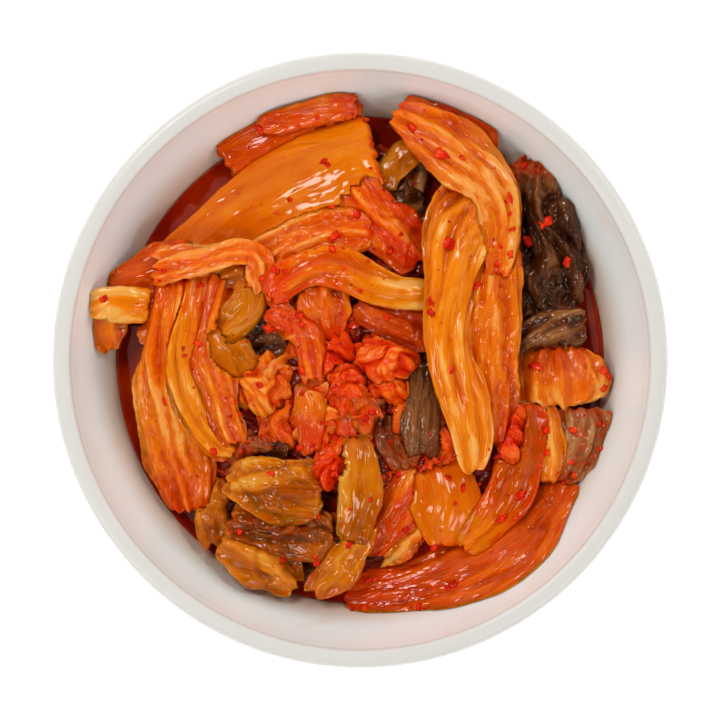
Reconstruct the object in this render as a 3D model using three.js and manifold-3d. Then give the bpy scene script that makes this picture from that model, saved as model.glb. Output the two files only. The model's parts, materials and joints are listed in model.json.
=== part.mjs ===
// Cabbage kimchi in a small white porcelain bowl, standing upright.
// Millimetres, +Z up. The origin is the centre of the foot ring, on the surface that the bowl stands on.
//
// The bowl is turned. The brine fills it up to BRINE_LEVEL, round a packed heart of kimchi. On the heart lie
// the pieces of leaf and stem. Each is a solid of its own: a strip bent along a spine of a few stations, or a
// crumpled lump. They are laid from the top down, so that everything above a piece is pressed into it.
import * as THREE from "three";
import { mergeVertices } from "three/addons/utils/BufferGeometryUtils.js";
import Module from "manifold-3d";

const wasm = await Module();
wasm.setup();

// ---- driving dimensions ----
const BOWL_HEIGHT = 58;
const RIM_RADIUS = 60; // outside of the rim
const LIP_WIDTH = 3.7; // from the outside of the rim to the top of the inner wall
const LIP_ROUND = 1.4; // how far the lip's two edges are rounded
const FLOOR_TOP = 10; // lowest point of the inside
const FLOOR_THICKNESS = 4.5;
const OUTER_DEPTH = 52; // where the outer wall's curve would close
const FOOT_RADIUS = 27;
const FOOT_WIDTH = 3.4;
const BOWL_FULLNESS = 1.6; // exponents of the wall's curve
const BOWL_ROUNDNESS = 0.47;
const BRINE_LEVEL = 38;
const GAP = 0.35; // between pieces that touch
const MERGE = 0.24; // faces smaller than this are merged, which is less than the gap
const HEART_RADIUS = 45.5; // the packed kimchi below the pieces that show
const HEART_CROWN = 46;
const HEART_SHOULDER = 36;
const HEART_FLOOR = 14;
const FLAKE_THICKNESS = 0.7;

const INNER_RIM_RADIUS = RIM_RADIUS - LIP_WIDTH;
const INNER_DEPTH = BOWL_HEIGHT - FLOOR_TOP;
const PRESS = 25; // how far up a piece clears what lies below it
const BED_REACH = 4; // how far round a piece the heart gives way
const TURN_SEGMENTS = 36; // round the bowl

// Radius of a wall that starts at rimRadius and closes at depth, at height z.
function wallRadius(rimRadius, depth, z) {
  const down = THREE.MathUtils.clamp((BOWL_HEIGHT - z) / depth, 0, 1);
  return rimRadius * Math.pow(1 - Math.pow(down, BOWL_FULLNESS), BOWL_ROUNDNESS);
}

const innerRadius = (z) => wallRadius(INNER_RIM_RADIUS, INNER_DEPTH, z);
const outerRadius = (z) => wallRadius(RIM_RADIUS, OUTER_DEPTH, z);

// Heights from low to high that come closer together towards the low end, where the wall turns in.
function heights(low, high, count) {
  return Array.from({ length: count }, (_, i) => low + (high - low) * Math.pow(i / (count - 1), 1.8));
}

// ---- colours of the finishes ----
const FINISHES = {
  porcelain: { color: "#efeae6", roughness: 0.18 },
  brine: { color: "#7a1403", roughness: 0.1 },
  heart: { color: "#6e2410", roughness: 0.5 },
  stem: { color: "#df8a3c", roughness: 0.35 },
  leaf: { color: "#e0741c", roughness: 0.4 },
  red_leaf: { color: "#d8431a", roughness: 0.4 },
  green_leaf: { color: "#a8761a", roughness: 0.4 },
  dark_leaf: { color: "#3f2a22", roughness: 0.45 },
};

// ---- solids and geometries ----
function solidFrom(geometry) {
  const bare = geometry.clone();
  bare.deleteAttribute("normal");
  bare.deleteAttribute("uv");
  const merged = mergeVertices(bare, 1e-4);
  return new wasm.Manifold(
    new wasm.Mesh({
      numProp: 3,
      vertProperties: new Float32Array(merged.attributes.position.array),
      triVerts: new Uint32Array(merged.index.array),
    }),
  );
}

function geometryFrom(solid) {
  const mesh = solid.getMesh();
  const geometry = new THREE.BufferGeometry();
  geometry.setAttribute("position", new THREE.BufferAttribute(mesh.vertProperties, 3));
  geometry.setIndex(new THREE.BufferAttribute(mesh.triVerts, 1));
  geometry.computeVertexNormals();
  return geometry;
}

// The largest body of a solid, as pressing can cut a loose scrap off a leaf, with its smallest faces merged.
function finished(solid) {
  const bodies = solid.simplify(MERGE).decompose();
  bodies.sort((a, b) => b.volume() - a.volume());
  return bodies[0];
}

// A profile of [radius, height] turned about Z.
function turned(profile, segments) {
  const lathe = new THREE.LatheGeometry(
    profile.map(([radius, height]) => new THREE.Vector2(radius, height)),
    segments,
  );
  return lathe.rotateX(Math.PI / 2);
}

// ---- the bowl ----
function bowlGeometry() {
  const wallFoot = 12.3; // where the outer wall meets the foot ring
  const outer = heights(wallFoot, BOWL_HEIGHT - LIP_ROUND, 6).map((z) => [outerRadius(z), z]);
  const inner = heights(FLOOR_TOP, BOWL_HEIGHT - LIP_ROUND, 7).map((z) => [innerRadius(z), z]);
  const profile = [
    [0, FLOOR_TOP - FLOOR_THICKNESS],
    [FOOT_RADIUS - FOOT_WIDTH - 1, FLOOR_TOP - FLOOR_THICKNESS],
    [FOOT_RADIUS - FOOT_WIDTH, 0],
    [FOOT_RADIUS - 0.6, 0],
    [FOOT_RADIUS, 0.8],
    ...outer,
    [RIM_RADIUS - 0.4 * LIP_ROUND, BOWL_HEIGHT - 0.25 * LIP_ROUND],
    [RIM_RADIUS - LIP_ROUND, BOWL_HEIGHT],
    [INNER_RIM_RADIUS + 0.6 * LIP_ROUND, BOWL_HEIGHT],
    [INNER_RIM_RADIUS + 0.15 * LIP_ROUND, BOWL_HEIGHT - 0.3 * LIP_ROUND],
    ...inner.reverse(),
  ];
  return turned(profile, TURN_SEGMENTS);
}

// The room inside the bowl, up to the given height and clear of the wall.
function insideSolid(top) {
  const wall = heights(FLOOR_TOP + GAP, top, 7).map((z) => [innerRadius(z - GAP) - GAP, z]);
  wall[0][0] = 0;
  return solidFrom(turned([...wall, [0, top]], TURN_SEGMENTS));
}

// ---- strips of leaf and stem ----
// A station is [x, y, z, halfWidth, roll, arch]: the strip's crown, half its width, how far its left edge
// is rolled up, and how far its section bends from edge to edge, both in degrees.
function curvesOf(stations) {
  const curve = (columns) =>
    new THREE.CatmullRomCurve3(
      stations.map((row) => new THREE.Vector3(...columns.map((c) => row[c]))),
      false,
      "catmullrom",
      0.5,
    );
  return { spine: curve([0, 1, 2]), section: curve([3, 4, 5]) };
}

// The strip's own axes at u, from 0 at its start to 1 at its end.
function axesAt({ spine, section }, u) {
  const tangent = spine.getTangent(u);
  const [halfWidth, roll, arch] = section.getPoint(u).toArray();
  const side = new THREE.Vector3(0, 0, 1).cross(tangent).normalize();
  const up = tangent.clone().cross(side).normalize();
  side.applyAxisAngle(tangent, THREE.MathUtils.degToRad(roll));
  up.applyAxisAngle(tangent, THREE.MathUtils.degToRad(roll));
  const bend = THREE.MathUtils.degToRad(arch) / 2;
  return { centre: spine.getPoint(u), tangent, side, up, halfWidth, bend };
}

// A point of the strip's top and its outward direction there. v runs from -1 to 1 across the strip.
function topOfStrip(strip, axes, u, v) {
  const angle = axes.bend * v;
  const radius = axes.halfWidth / Math.max(Math.abs(axes.bend), 1e-4);
  const across = radius * Math.sin(Math.abs(axes.bend) * v);
  const drop = Math.sign(axes.bend) * radius * (1 - Math.cos(angle));
  const normal = axes.up.clone().multiplyScalar(Math.cos(angle)).addScaledVector(axes.side, Math.sin(angle));
  const rib = strip.ribHeight * Math.cos(Math.PI * strip.ribs * v);
  const wave = Math.sin(2 * Math.PI * strip.waves * u + (v > 0 ? 0 : 2));
  const point = axes.centre
    .clone()
    .addScaledVector(axes.side, across)
    .addScaledVector(axes.up, -drop)
    .addScaledVector(normal, rib + strip.ruffle * wave * v * v);
  return { point, normal };
}

function thicknessAt(strip, axes, v) {
  const wanted = strip.edge + (strip.middle - strip.edge) * (1 - v * v);
  const radius = axes.halfWidth / Math.max(axes.bend, 1e-4);
  return Math.min(wanted, 0.8 * radius);
}

// The strip as a closed solid. To press on others it grows all round, and its top is lifted.
function stripSolid(strip, grow = 0, lift = 0) {
  const curves = curvesOf(strip.stations);
  const [along, across] = strip.grid;
  const top = [];
  const bottom = [];
  for (let i = 0; i <= along; i++) {
    const u = i / along;
    const axes = axesAt(curves, u);
    axes.halfWidth += grow;
    if (i === 0) axes.centre.addScaledVector(axes.tangent, -grow);
    if (i === along) axes.centre.addScaledVector(axes.tangent, grow);
    for (let j = 0; j <= across; j++) {
      const v = (2 * j) / across - 1;
      const { point, normal } = topOfStrip(strip, axes, u, v);
      const thickness = thicknessAt(strip, axes, v);
      bottom.push(point.clone().addScaledVector(normal, -thickness - grow));
      point.addScaledVector(normal, grow);
      point.z += lift;
      top.push(point);
    }
  }
  const rows = along + 1;
  const columns = across + 1;
  const below = rows * columns;
  const faces = [];
  for (let i = 0; i < along; i++) {
    for (let j = 0; j < across; j++) {
      const a = i * columns + j;
      const [b, c, d] = [a + columns, a + columns + 1, a + 1];
      faces.push(a, c, d, a, b, c);
      faces.push(below + a, below + d, below + c, below + a, below + c, below + b);
    }
  }
  const edge = [
    ...Array.from({ length: along }, (_, i) => i * columns),
    ...Array.from({ length: across }, (_, j) => along * columns + j),
    ...Array.from({ length: along }, (_, i) => (along - i) * columns + across),
    ...Array.from({ length: across }, (_, j) => across - j),
  ];
  edge.forEach((a, n) => {
    const b = edge[(n + 1) % edge.length];
    faces.push(a, below + a, b, b, below + a, below + b);
  });
  const geometry = new THREE.BufferGeometry().setFromPoints([...top, ...bottom]);
  geometry.setIndex(faces);
  return solidFrom(geometry);
}

// ---- crumpled lumps ----
// A ball pulled to three radii, and dented by crossed waves.
function lumpSolid(lump, grow = 0, lift = 0) {
  const geometry = mergeVertices(
    new THREE.IcosahedronGeometry(1, lump.detail).deleteAttribute("normal").deleteAttribute("uv"),
  );
  const position = geometry.attributes.position;
  const point = new THREE.Vector3();
  for (let i = 0; i < position.count; i++) {
    point.fromBufferAttribute(position, i);
    const { x, y, z } = point;
    const dent = Math.sin(5 * x + 3 * y + lump.turn) * Math.sin(4 * y - 5 * z + 2 * lump.turn);
    const raised = z > 0.15 ? lift : 0;
    point.multiplyScalar(1 + lump.dents * dent);
    point.multiply(new THREE.Vector3(...lump.radii).addScalar(grow));
    point.add(new THREE.Vector3(...lump.centre));
    position.setXYZ(i, point.x, point.y, point.z + raised);
  }
  return solidFrom(geometry);
}

// ---- chilli flakes ----
// A flake lies on a strip at (u, v), sunk to half its thickness.
function flakeSolid(strip, [u, v, size]) {
  const axes = axesAt(curvesOf(strip.stations), u);
  const { point, normal } = topOfStrip(strip, axes, u, v);
  const flake = new THREE.IcosahedronGeometry(1, 0);
  flake.scale(size / 2, size / 3, FLAKE_THICKNESS / 2);
  flake.rotateZ(7 * u + 5 * v);
  flake.applyQuaternion(new THREE.Quaternion().setFromUnitVectors(new THREE.Vector3(0, 0, 1), normal));
  flake.translate(point.x, point.y, point.z);
  return solidFrom(flake);
}

// ---- the pieces, from the top down ----
const STRIP = {
  kind: "strip",
  middle: 1.6,
  edge: 0.9,
  ribs: 2,
  ribHeight: 0.25,
  waves: 2,
  ruffle: 0.3,
  grid: [10, 4],
  flakes: [],
};
const LUMP = { kind: "lump", detail: 2, dents: 0.13, turn: 0 };
const strip = (name, finish, stations, form = {}) => ({ name, finish, stations, ...STRIP, ...form });
const lump = (name, finish, centre, radii, form = {}) => ({ name, finish, centre, radii, ...LUMP, ...form });

// The long folded leaf that lies over the right half: its hood, its front fold and the folds behind.
const longLeaf = [
  strip(
    "long_hood",
    "leaf",
    [
      [6.5, 49.2, 48.6, 1.6, 0, 40],
      [11.6, 47, 50.2, 4.1, -10, 70],
      [17.8, 43.1, 51.4, 6, -14, 80],
      [24, 37.4, 51.8, 5.2, -18, 80],
      [27.7, 31, 51.4, 3.6, -20, 70],
      [28.4, 24, 50.8, 2.6, -20, 60],
      [27.6, 17, 50, 1.5, -10, 50],
    ],
    { grid: [9, 4], ribs: 3, middle: 1.8, flakes: [[0.15, -0.45, 2], [0.34, -0.5, 3.4], [0.67, 0.8, 2.6]] },
  ),
  strip(
    "long_front",
    "stem",
    [
      [23.5, 35.5, 49.2, 5, 10, 50],
      [21.8, 29.6, 51, 8, 0, 70],
      [20.2, 23.6, 52.2, 7.6, -6, 90],
      [18.8, 16, 52.6, 5.5, -8, 100],
      [17.3, 7, 52.4, 4, 0, 100],
      [17.8, -1, 51.8, 4.2, 8, 90],
      [20.4, -9, 50.8, 4.7, 14, 80],
      [22.2, -16, 49.4, 4, 8, 80],
      [22.6, -22.2, 47.6, 1.8, 0, 60],
    ],
    {
      grid: [13, 5], ribs: 3, middle: 2.4,
      flakes: [
        [0.05, -0.75, 2.8],
        [0.27, -0.41, 3.4],
        [0.2, 0.73, 2.2],
        [0.45, -0.85, 2],
        [0.64, -0.05, 1.8],
      ],
    },
  ),
  strip(
    "long_back",
    "leaf",
    [
      [27.6, 24.6, 48.4, 3.2, -10, 50],
      [26.8, 15, 49.6, 5, -10, 70],
      [25.8, 6, 49.8, 5.8, -8, 70],
      [25.4, -3, 49.2, 5.6, 0, 60],
      [25.8, -10.5, 47.6, 4, 0, 50],
      [26.4, -16.6, 46, 1.8, 0, 40],
    ],
    { grid: [8, 4], ribs: 3, flakes: [[0.22, -0.8, 2.2]] },
  ),
  strip(
    "hood_layer",
    "leaf",
    [
      [9, 50.6, 46, 1.6, 0, 40],
      [15, 50, 47.4, 2.6, 0, 60],
      [21, 46.4, 47.4, 2.6, 0, 60],
      [26, 40.6, 46.2, 1.4, 0, 40],
    ],
    { grid: [6, 2] },
  ),
];

// The stem that arches across the middle, the strand that hangs from its end and the leaf below it.
const archPieces = [
  strip(
    "arch_stem",
    "stem",
    [
      [-18.1, 12.2, 48, 1.3, 6, 60],
      [-15.3, 15, 49.6, 2.6, 10, 80],
      [-9.5, 17.8, 50.6, 3, 10, 90],
      [-3.5, 18.4, 50.8, 3.5, -10, 90],
      [2.5, 15.4, 50.6, 3.4, -14, 90],
      [8, 13.7, 49.8, 2.8, 0, 100],
      [15, 13.4, 48.6, 2.5, 0, 100],
    ],
    { grid: [10, 4], middle: 2.2 },
  ),
  strip(
    "hanging_strand",
    "leaf",
    [
      [-18.3, 10.2, 47.4, 1.2, 0, 60],
      [-14.4, 8.4, 48.4, 1.5, 0, 90],
      [-11.4, 5.8, 49, 1.8, 0, 100],
      [-10.2, 0.6, 49, 1.7, 0, 100],
      [-9.2, -4.6, 48, 1.1, 0, 80],
    ],
    { grid: [8, 2], ribHeight: 0.1 },
  ),
  strip(
    "arch_skirt",
    "leaf",
    [
      [-0.6, 12.4, 47, 2, 0, 40],
      [5, 9.6, 47.8, 3.6, 0, 60],
      [10.4, 7, 47.4, 3.8, 0, 60],
      [14.6, 3.4, 46.4, 2, 0, 50],
    ],
    { grid: [6, 3] },
  ),
];

// The folded leaf on the left: its rolled edge on top, its fan of ribs, and the green part it curls round.
const leftLeaf = [
  strip(
    "rolled_edge",
    "red_leaf",
    [
      [-41, 18.2, 49, 1.4, 0, 60],
      [-37, 19, 50.3, 2.8, -6, 100],
      [-31, 20, 50.8, 3.1, -6, 110],
      [-25, 21.3, 50.6, 2.9, -6, 100],
      [-20.6, 20.4, 50, 2.3, -6, 90],
      [-19.3, 16.6, 49.2, 2, -6, 80],
      [-19.4, 12, 48, 1, 0, 60],
    ],
    { grid: [9, 4], ribs: 3 },
  ),
  strip(
    "edge_spike",
    "red_leaf",
    [
      [-37.2, 23.6, 48, 0.5, 0, 30],
      [-36, 21.6, 48.8, 1.1, 0, 60],
      [-34.6, 19.6, 49.4, 1.4, 0, 60],
    ],
    { grid: [3, 2], ribHeight: 0, ruffle: 0.1 },
  ),
  strip(
    "green_curl",
    "green_leaf",
    [
      [-27.6, 16, 47.6, 1.4, 0, 50],
      [-23.9, 17.6, 48.8, 1.9, -10, 70],
      [-21.4, 14.6, 49.4, 2.1, -20, 80],
      [-22, 10.6, 49, 2.6, -20, 80],
      [-25, 7.2, 48, 2.7, -16, 70],
      [-27.6, 5.2, 47, 1.4, 0, 50],
    ],
    { grid: [10, 3] },
  ),
  strip(
    "green_sliver",
    "green_leaf",
    [
      [-29, 6, 48, 1.3, 0, 50],
      [-27, 3.6, 48.6, 2.1, 0, 70],
      [-24.6, 0.6, 48.2, 2.2, 0, 70],
      [-22, -2.4, 47.2, 0.8, 0, 50],
    ],
    { grid: [5, 2], ribHeight: 0.1 },
  ),
  strip(
    "fan_inner",
    "leaf",
    [
      [-26.4, 16.8, 46.8, 1.7, 0, 60],
      [-28.8, 9, 49.4, 2.3, 0, 80],
      [-29.2, 2, 50, 2.8, 0, 90],
      [-28.2, -4.4, 49.6, 2.9, 0, 90],
      [-26.8, -10.2, 48.2, 2.6, 0, 80],
      [-24.7, -16.6, 46.2, 1.6, 0, 60],
    ],
    { grid: [8, 3] },
  ),
  strip(
    "fan_middle",
    "stem",
    [
      [-30.4, 18.6, 46.8, 2.8, 0, 50],
      [-32.2, 9.6, 49.4, 3.6, 0, 70],
      [-33.6, 0, 49.6, 4.4, 0, 80],
      [-32.4, -8.6, 48.2, 4.6, 0, 80],
      [-28.8, -15.3, 46.4, 3.6, 0, 70],
      [-24.8, -18.4, 44.6, 1.8, 0, 50],
    ],
    { grid: [9, 3], ribs: 3 },
  ),
  strip(
    "fan_outer",
    "leaf",
    [
      [-35.6, 19, 45.8, 3.2, 0, 40],
      [-36.6, 10, 48.8, 4.6, 0, 70],
      [-37.2, 0.6, 48.4, 6.2, 0, 90],
      [-37.2, -8, 47, 7.5, 0, 100],
      [-36, -16, 45, 8.2, 0, 100],
      [-34.9, -23, 43.4, 6.8, 0, 90],
      [-34.2, -30.6, 41.2, 2.6, 0, 60],
    ],
    { grid: [11, 5], ribs: 3, ribHeight: 0.35, middle: 1.8 },
  ),
  strip(
    "torn_spike",
    "leaf",
    [
      [-44.6, 4, 44.6, 0.5, 0, 30],
      [-42, 5.6, 45.8, 1.1, 0, 60],
      [-38.6, 8, 46.6, 1.5, 0, 60],
    ],
    { grid: [3, 2], ribHeight: 0, ruffle: 0.1 },
  ),
];

// The stem end that leans on the wall on the far left, and the flap that hangs from it.
const leftEnd = [
  strip(
    "stem_end",
    "stem",
    [
      [-53.6, 10, 49.8, 1.5, 0, 50],
      [-50, 11.4, 51, 2.4, 0, 80],
      [-45, 10.7, 50.6, 2.9, 0, 90],
      [-39.4, 10.2, 49, 2.6, 0, 70],
    ],
    { grid: [5, 3], flakes: [[0.3, 0.3, 1.6]] },
  ),
  strip(
    "stem_end_flap",
    "stem",
    [
      [-50.4, 9.6, 48.4, 3.4, 0, 40],
      [-50.6, 5.6, 47, 3.2, 0, 50],
      [-49.8, 1.6, 45, 1.4, 0, 40],
    ],
    { grid: [4, 3], middle: 1.8 },
  ),
  strip(
    "buried_stem",
    "leaf",
    [
      [-49.8, 14.2, 45, 1.6, 0, 40],
      [-45, 16.3, 45.8, 3.2, -10, 60],
      [-39, 18.6, 45.8, 3.8, -10, 60],
      [-33, 21.5, 44.6, 2.8, -10, 50],
    ],
    { grid: [5, 2], middle: 2 },
  ),
];

// The crumpled reddish leaf and paste in the middle.
const middlePieces = [
  strip(
    "ruffled_leaf",
    "leaf",
    [
      [-7.4, 16, 47.8, 3, 0, 50],
      [-7.2, 12.4, 49, 4.6, 0, 70],
      [-6.6, 8.2, 48.6, 4.6, 0, 70],
      [-5.6, 4.4, 47, 2.8, 0, 50],
    ],
    { grid: [6, 5], ribs: 3, ribHeight: 0.45, ruffle: 0.6 },
  ),
  strip(
    "dripping_shred",
    "leaf",
    [
      [-11, -6.4, 48.4, 1, 0, 60],
      [-9.7, -10, 49, 1.5, 0, 90],
      [-9.8, -14.5, 48, 1.4, 0, 90],
      [-9.4, -19, 46, 0.7, 0, 60],
    ],
    { grid: [6, 2], ribHeight: 0.1 },
  ),
  lump("crumple_right", "red_leaf", [-2.6, -5.4, 45.8], [3.7, 4.5, 3.2], { detail: 1, turn: 2 }),
  lump("crumple_front", "red_leaf", [-8.6, -11, 45], [4.9, 6.9, 3.2], { detail: 1, turn: 3 }),
  lump("crumple_left", "leaf", [-19.6, -4.6, 45.6], [6.1, 5.4, 3], { turn: 1 }),
  lump("crumple_low", "leaf", [-16, -11.8, 44.4], [4.7, 6.8, 3], { detail: 1, turn: 5 }),
  lump("crumple_top", "red_leaf", [-6.4, 2.6, 45.2], [4.6, 5.4, 3], { detail: 1, turn: 4 }),
  lump("red_lump", "red_leaf", [5.2, 1, 45.6], [6.4, 4.7, 3.6], { turn: 6 }),
  lump("red_lump_low", "red_leaf", [4.6, -6.2, 44.2], [4.2, 3.2, 2.6], { detail: 1, turn: 7 }),
  lump("red_cluster", "red_leaf", [-6, -20.6, 46], [2.4, 4.2, 2.4], { detail: 1, turn: 8 }),
  lump("right_paste", "red_leaf", [29.4, -13.6, 44.6], [2.9, 6.4, 3], { detail: 1, turn: 9 }),
];

// The broad pale stem on the upper left, the striped leaf in front of it and the red fold at its cut end.
const upperPieces = [
  strip(
    "striped_leaf",
    "red_leaf",
    [
      [-21, 18.8, 46.8, 3, 0, 40],
      [-14, 22.3, 48.4, 4, 0, 60],
      [-6, 25.2, 48.8, 4.3, 0, 70],
      [2.4, 25.4, 47.6, 3, 0, 50],
    ],
    { grid: [7, 4], ribs: 3, flakes: [[0.7, -0.2, 2.6]] },
  ),
  strip(
    "red_fold",
    "red_leaf",
    [
      [-1.6, 34, 47.4, 3.2, 0, 40],
      [2.8, 28.8, 47.8, 4.4, 0, 70],
      [7.2, 24, 47.2, 5.2, 0, 90],
      [12.4, 19.6, 45.8, 3.9, 0, 80],
    ],
    { grid: [6, 4], ribHeight: 0.5, ruffle: 0.6 },
  ),
  strip(
    "broad_stem",
    "stem",
    [
      [-38, 17.8, 43.4, 5.2, -16, 50],
      [-24.2, 28.6, 45.6, 7.8, -18, 60],
      [-9, 36.6, 47.6, 9.4, -18, 66],
      [3.4, 39.8, 48.2, 11, -14, 56],
    ],
    { grid: [7, 4], middle: 3, edge: 1.4, ribHeight: 0.2, flakes: [[0.74, 0.1, 1.6]] },
  ),
  strip(
    "top_ribbon",
    "leaf",
    [
      [-20, 46.6, 45, 1.1, 0, 40],
      [-13, 48.8, 46.4, 1.5, 0, 80],
      [-7, 49.8, 47, 1.6, 0, 80],
      [-3, 50.2, 47.4, 2.5, 0, 90],
      [-0.6, 50.2, 46.6, 1.2, 0, 60],
    ],
    { grid: [7, 2], ribHeight: 0.1 },
  ),
  strip(
    "back_stem",
    "leaf",
    [
      [-27, 39.4, 42, 3.2, 10, 30],
      [-18, 43.6, 43.4, 3.6, 10, 40],
      [-8, 47, 44.6, 3.4, 10, 40],
      [1, 48.6, 44.4, 2.4, 0, 30],
    ],
    { grid: [6, 2], middle: 2 },
  ),
];

// The yellow-green bunch at the lower left.
const greenBunch = [
  strip(
    "green_stem",
    "green_leaf",
    [
      [-1.4, -14.8, 46.6, 0.9, 0, 50],
      [0, -19, 48.4, 2.6, 0, 80],
      [0.2, -26, 48.8, 3.2, 0, 90],
      [-1, -32, 47.8, 2.8, 0, 90],
      [-2.6, -36, 46.4, 1.7, 0, 60],
    ],
    { grid: [9, 3], middle: 2.4 },
  ),
  strip(
    "green_lobe",
    "green_leaf",
    [
      [-26.6, -23.4, 45.6, 1.3, 0, 50],
      [-23, -24.4, 47.8, 3.6, 0, 80],
      [-16, -25.4, 48.6, 5, 0, 80],
      [-7.6, -26, 47.4, 5, 0, 60],
    ],
    { grid: [7, 4], ribs: 2, ribHeight: 0.4, flakes: [[0.56, 0.55, 2.4]] },
  ),
  strip(
    "green_heel",
    "green_leaf",
    [
      [2, -32.6, 45.6, 1, 0, 50],
      [-0.6, -37, 46.6, 2.2, 0, 80],
      [-4.6, -42, 46, 2.7, 0, 80],
      [-9.2, -47, 44.2, 1.6, 0, 60],
    ],
    { grid: [7, 3], middle: 2, flakes: [[0.38, -0.5, 2.2]] },
  ),
  strip(
    "green_heart",
    "green_leaf",
    [
      [-25.6, -31, 45.6, 2.6, 0, 40],
      [-18, -32.8, 46.6, 4.6, 0, 60],
      [-10.6, -34.6, 46.6, 5, 0, 60],
      [-4.6, -34.4, 45.4, 3.2, 0, 40],
    ],
    { grid: [6, 3], ribHeight: 0.5, ruffle: 0.6, flakes: [[0.76, 0.8, 2.2]] },
  ),
  strip(
    "green_foot",
    "green_leaf",
    [
      [-27.8, -35.6, 44.4, 1.8, 0, 40],
      [-23, -38.2, 45.8, 4, 0, 70],
      [-17, -41, 45.6, 4.2, 0, 80],
      [-12.4, -44.8, 43.6, 1.8, 0, 60],
    ],
    { grid: [6, 3], ribHeight: 0.4, ruffle: 0.5, flakes: [[0.7, 0.6, 2]] },
  ),
  strip(
    "green_side",
    "green_leaf",
    [
      [-28.4, -23.4, 43.4, 1.2, 0, 50],
      [-30, -28, 44.6, 1.9, 0, 80],
      [-29.6, -33, 44, 1.9, 0, 80],
      [-28.8, -37.4, 42.6, 1, 0, 50],
    ],
    { grid: [6, 2] },
  ),
];

// The ribbed piece on the right, with the stem that trails from it.
const rightPieces = [
  strip(
    "right_tail",
    "stem",
    [
      [33.6, -8.6, 44.6, 2.2, 0, 50],
      [33, -14.6, 45.4, 3.4, 0, 70],
      [32, -21.4, 45.4, 4.1, 0, 80],
      [29.4, -27.6, 44.6, 3.9, 0, 80],
      [25.4, -33, 43.4, 3, 0, 80],
      [20.8, -38, 42, 1.8, 0, 60],
    ],
    { grid: [8, 3], middle: 2.2, flakes: [[0.55, 0.5, 2.8], [0.72, 0.4, 2.2]] },
  ),
  strip(
    "right_head",
    "leaf",
    [
      [39.8, 2.8, 42.4, 6.4, 0, 60],
      [39.8, -3, 44.8, 9, 0, 80],
      [40.2, -9, 44.8, 9.2, 0, 90],
    ],
    { grid: [5, 6], ribs: 4, ribHeight: 0.35, flakes: [[0.38, 0.65, 3], [0.35, -0.55, 2.6]] },
  ),
  strip(
    "right_rib",
    "stem",
    [
      [36.2, -8.4, 44, 1.8, 0, 60],
      [37.2, -14, 45, 2.8, 0, 80],
      [38, -19.4, 44, 2.6, 0, 80],
      [37.6, -24.6, 42.4, 1.2, 0, 60],
    ],
    { grid: [6, 2], ribHeight: 0.1 },
  ),
  strip(
    "right_leaf",
    "dark_leaf",
    [
      [43.8, -9.4, 43.4, 4.8, 0, 60],
      [43.8, -14.4, 43.6, 5.6, 0, 70],
      [42, -19.4, 42.8, 5, 0, 70],
      [39.6, -24.4, 40.8, 2.2, 0, 50],
    ],
    { grid: [6, 4], ribHeight: 0.4 },
  ),
];

// The dark outer leaf on the right, crumpled, with a folded end.
const darkLeaf = [
  strip(
    "dark_fold",
    "dark_leaf",
    [
      [45, 8.2, 43.6, 2.4, 0, 50],
      [39.6, 6.4, 44.8, 4, 0, 80],
      [34.4, 3.2, 44.6, 3.8, 0, 80],
      [30.4, -0.6, 43, 1.8, 0, 50],
    ],
    { grid: [7, 3], ribHeight: 0.4 },
  ),
  strip(
    "dark_blade",
    "dark_leaf",
    [
      [34.4, 41, 44.6, 2.2, 0, 40],
      [34.8, 34, 45.4, 5.6, 0, 60],
      [35.8, 25.4, 45.4, 7.8, 0, 70],
      [36.9, 16.6, 44.8, 8.4, 0, 70],
      [37.6, 9, 43, 7.4, 0, 50],
    ],
    {
      grid: [8, 4], ribs: 3, ribHeight: 0.6, waves: 4, ruffle: 0.7,
      flakes: [[0.24, 0.3, 2.6], [0.45, 0.15, 3], [0.54, -0.35, 2.2], [0.68, 0.55, 2]],
    },
  ),
];

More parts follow.
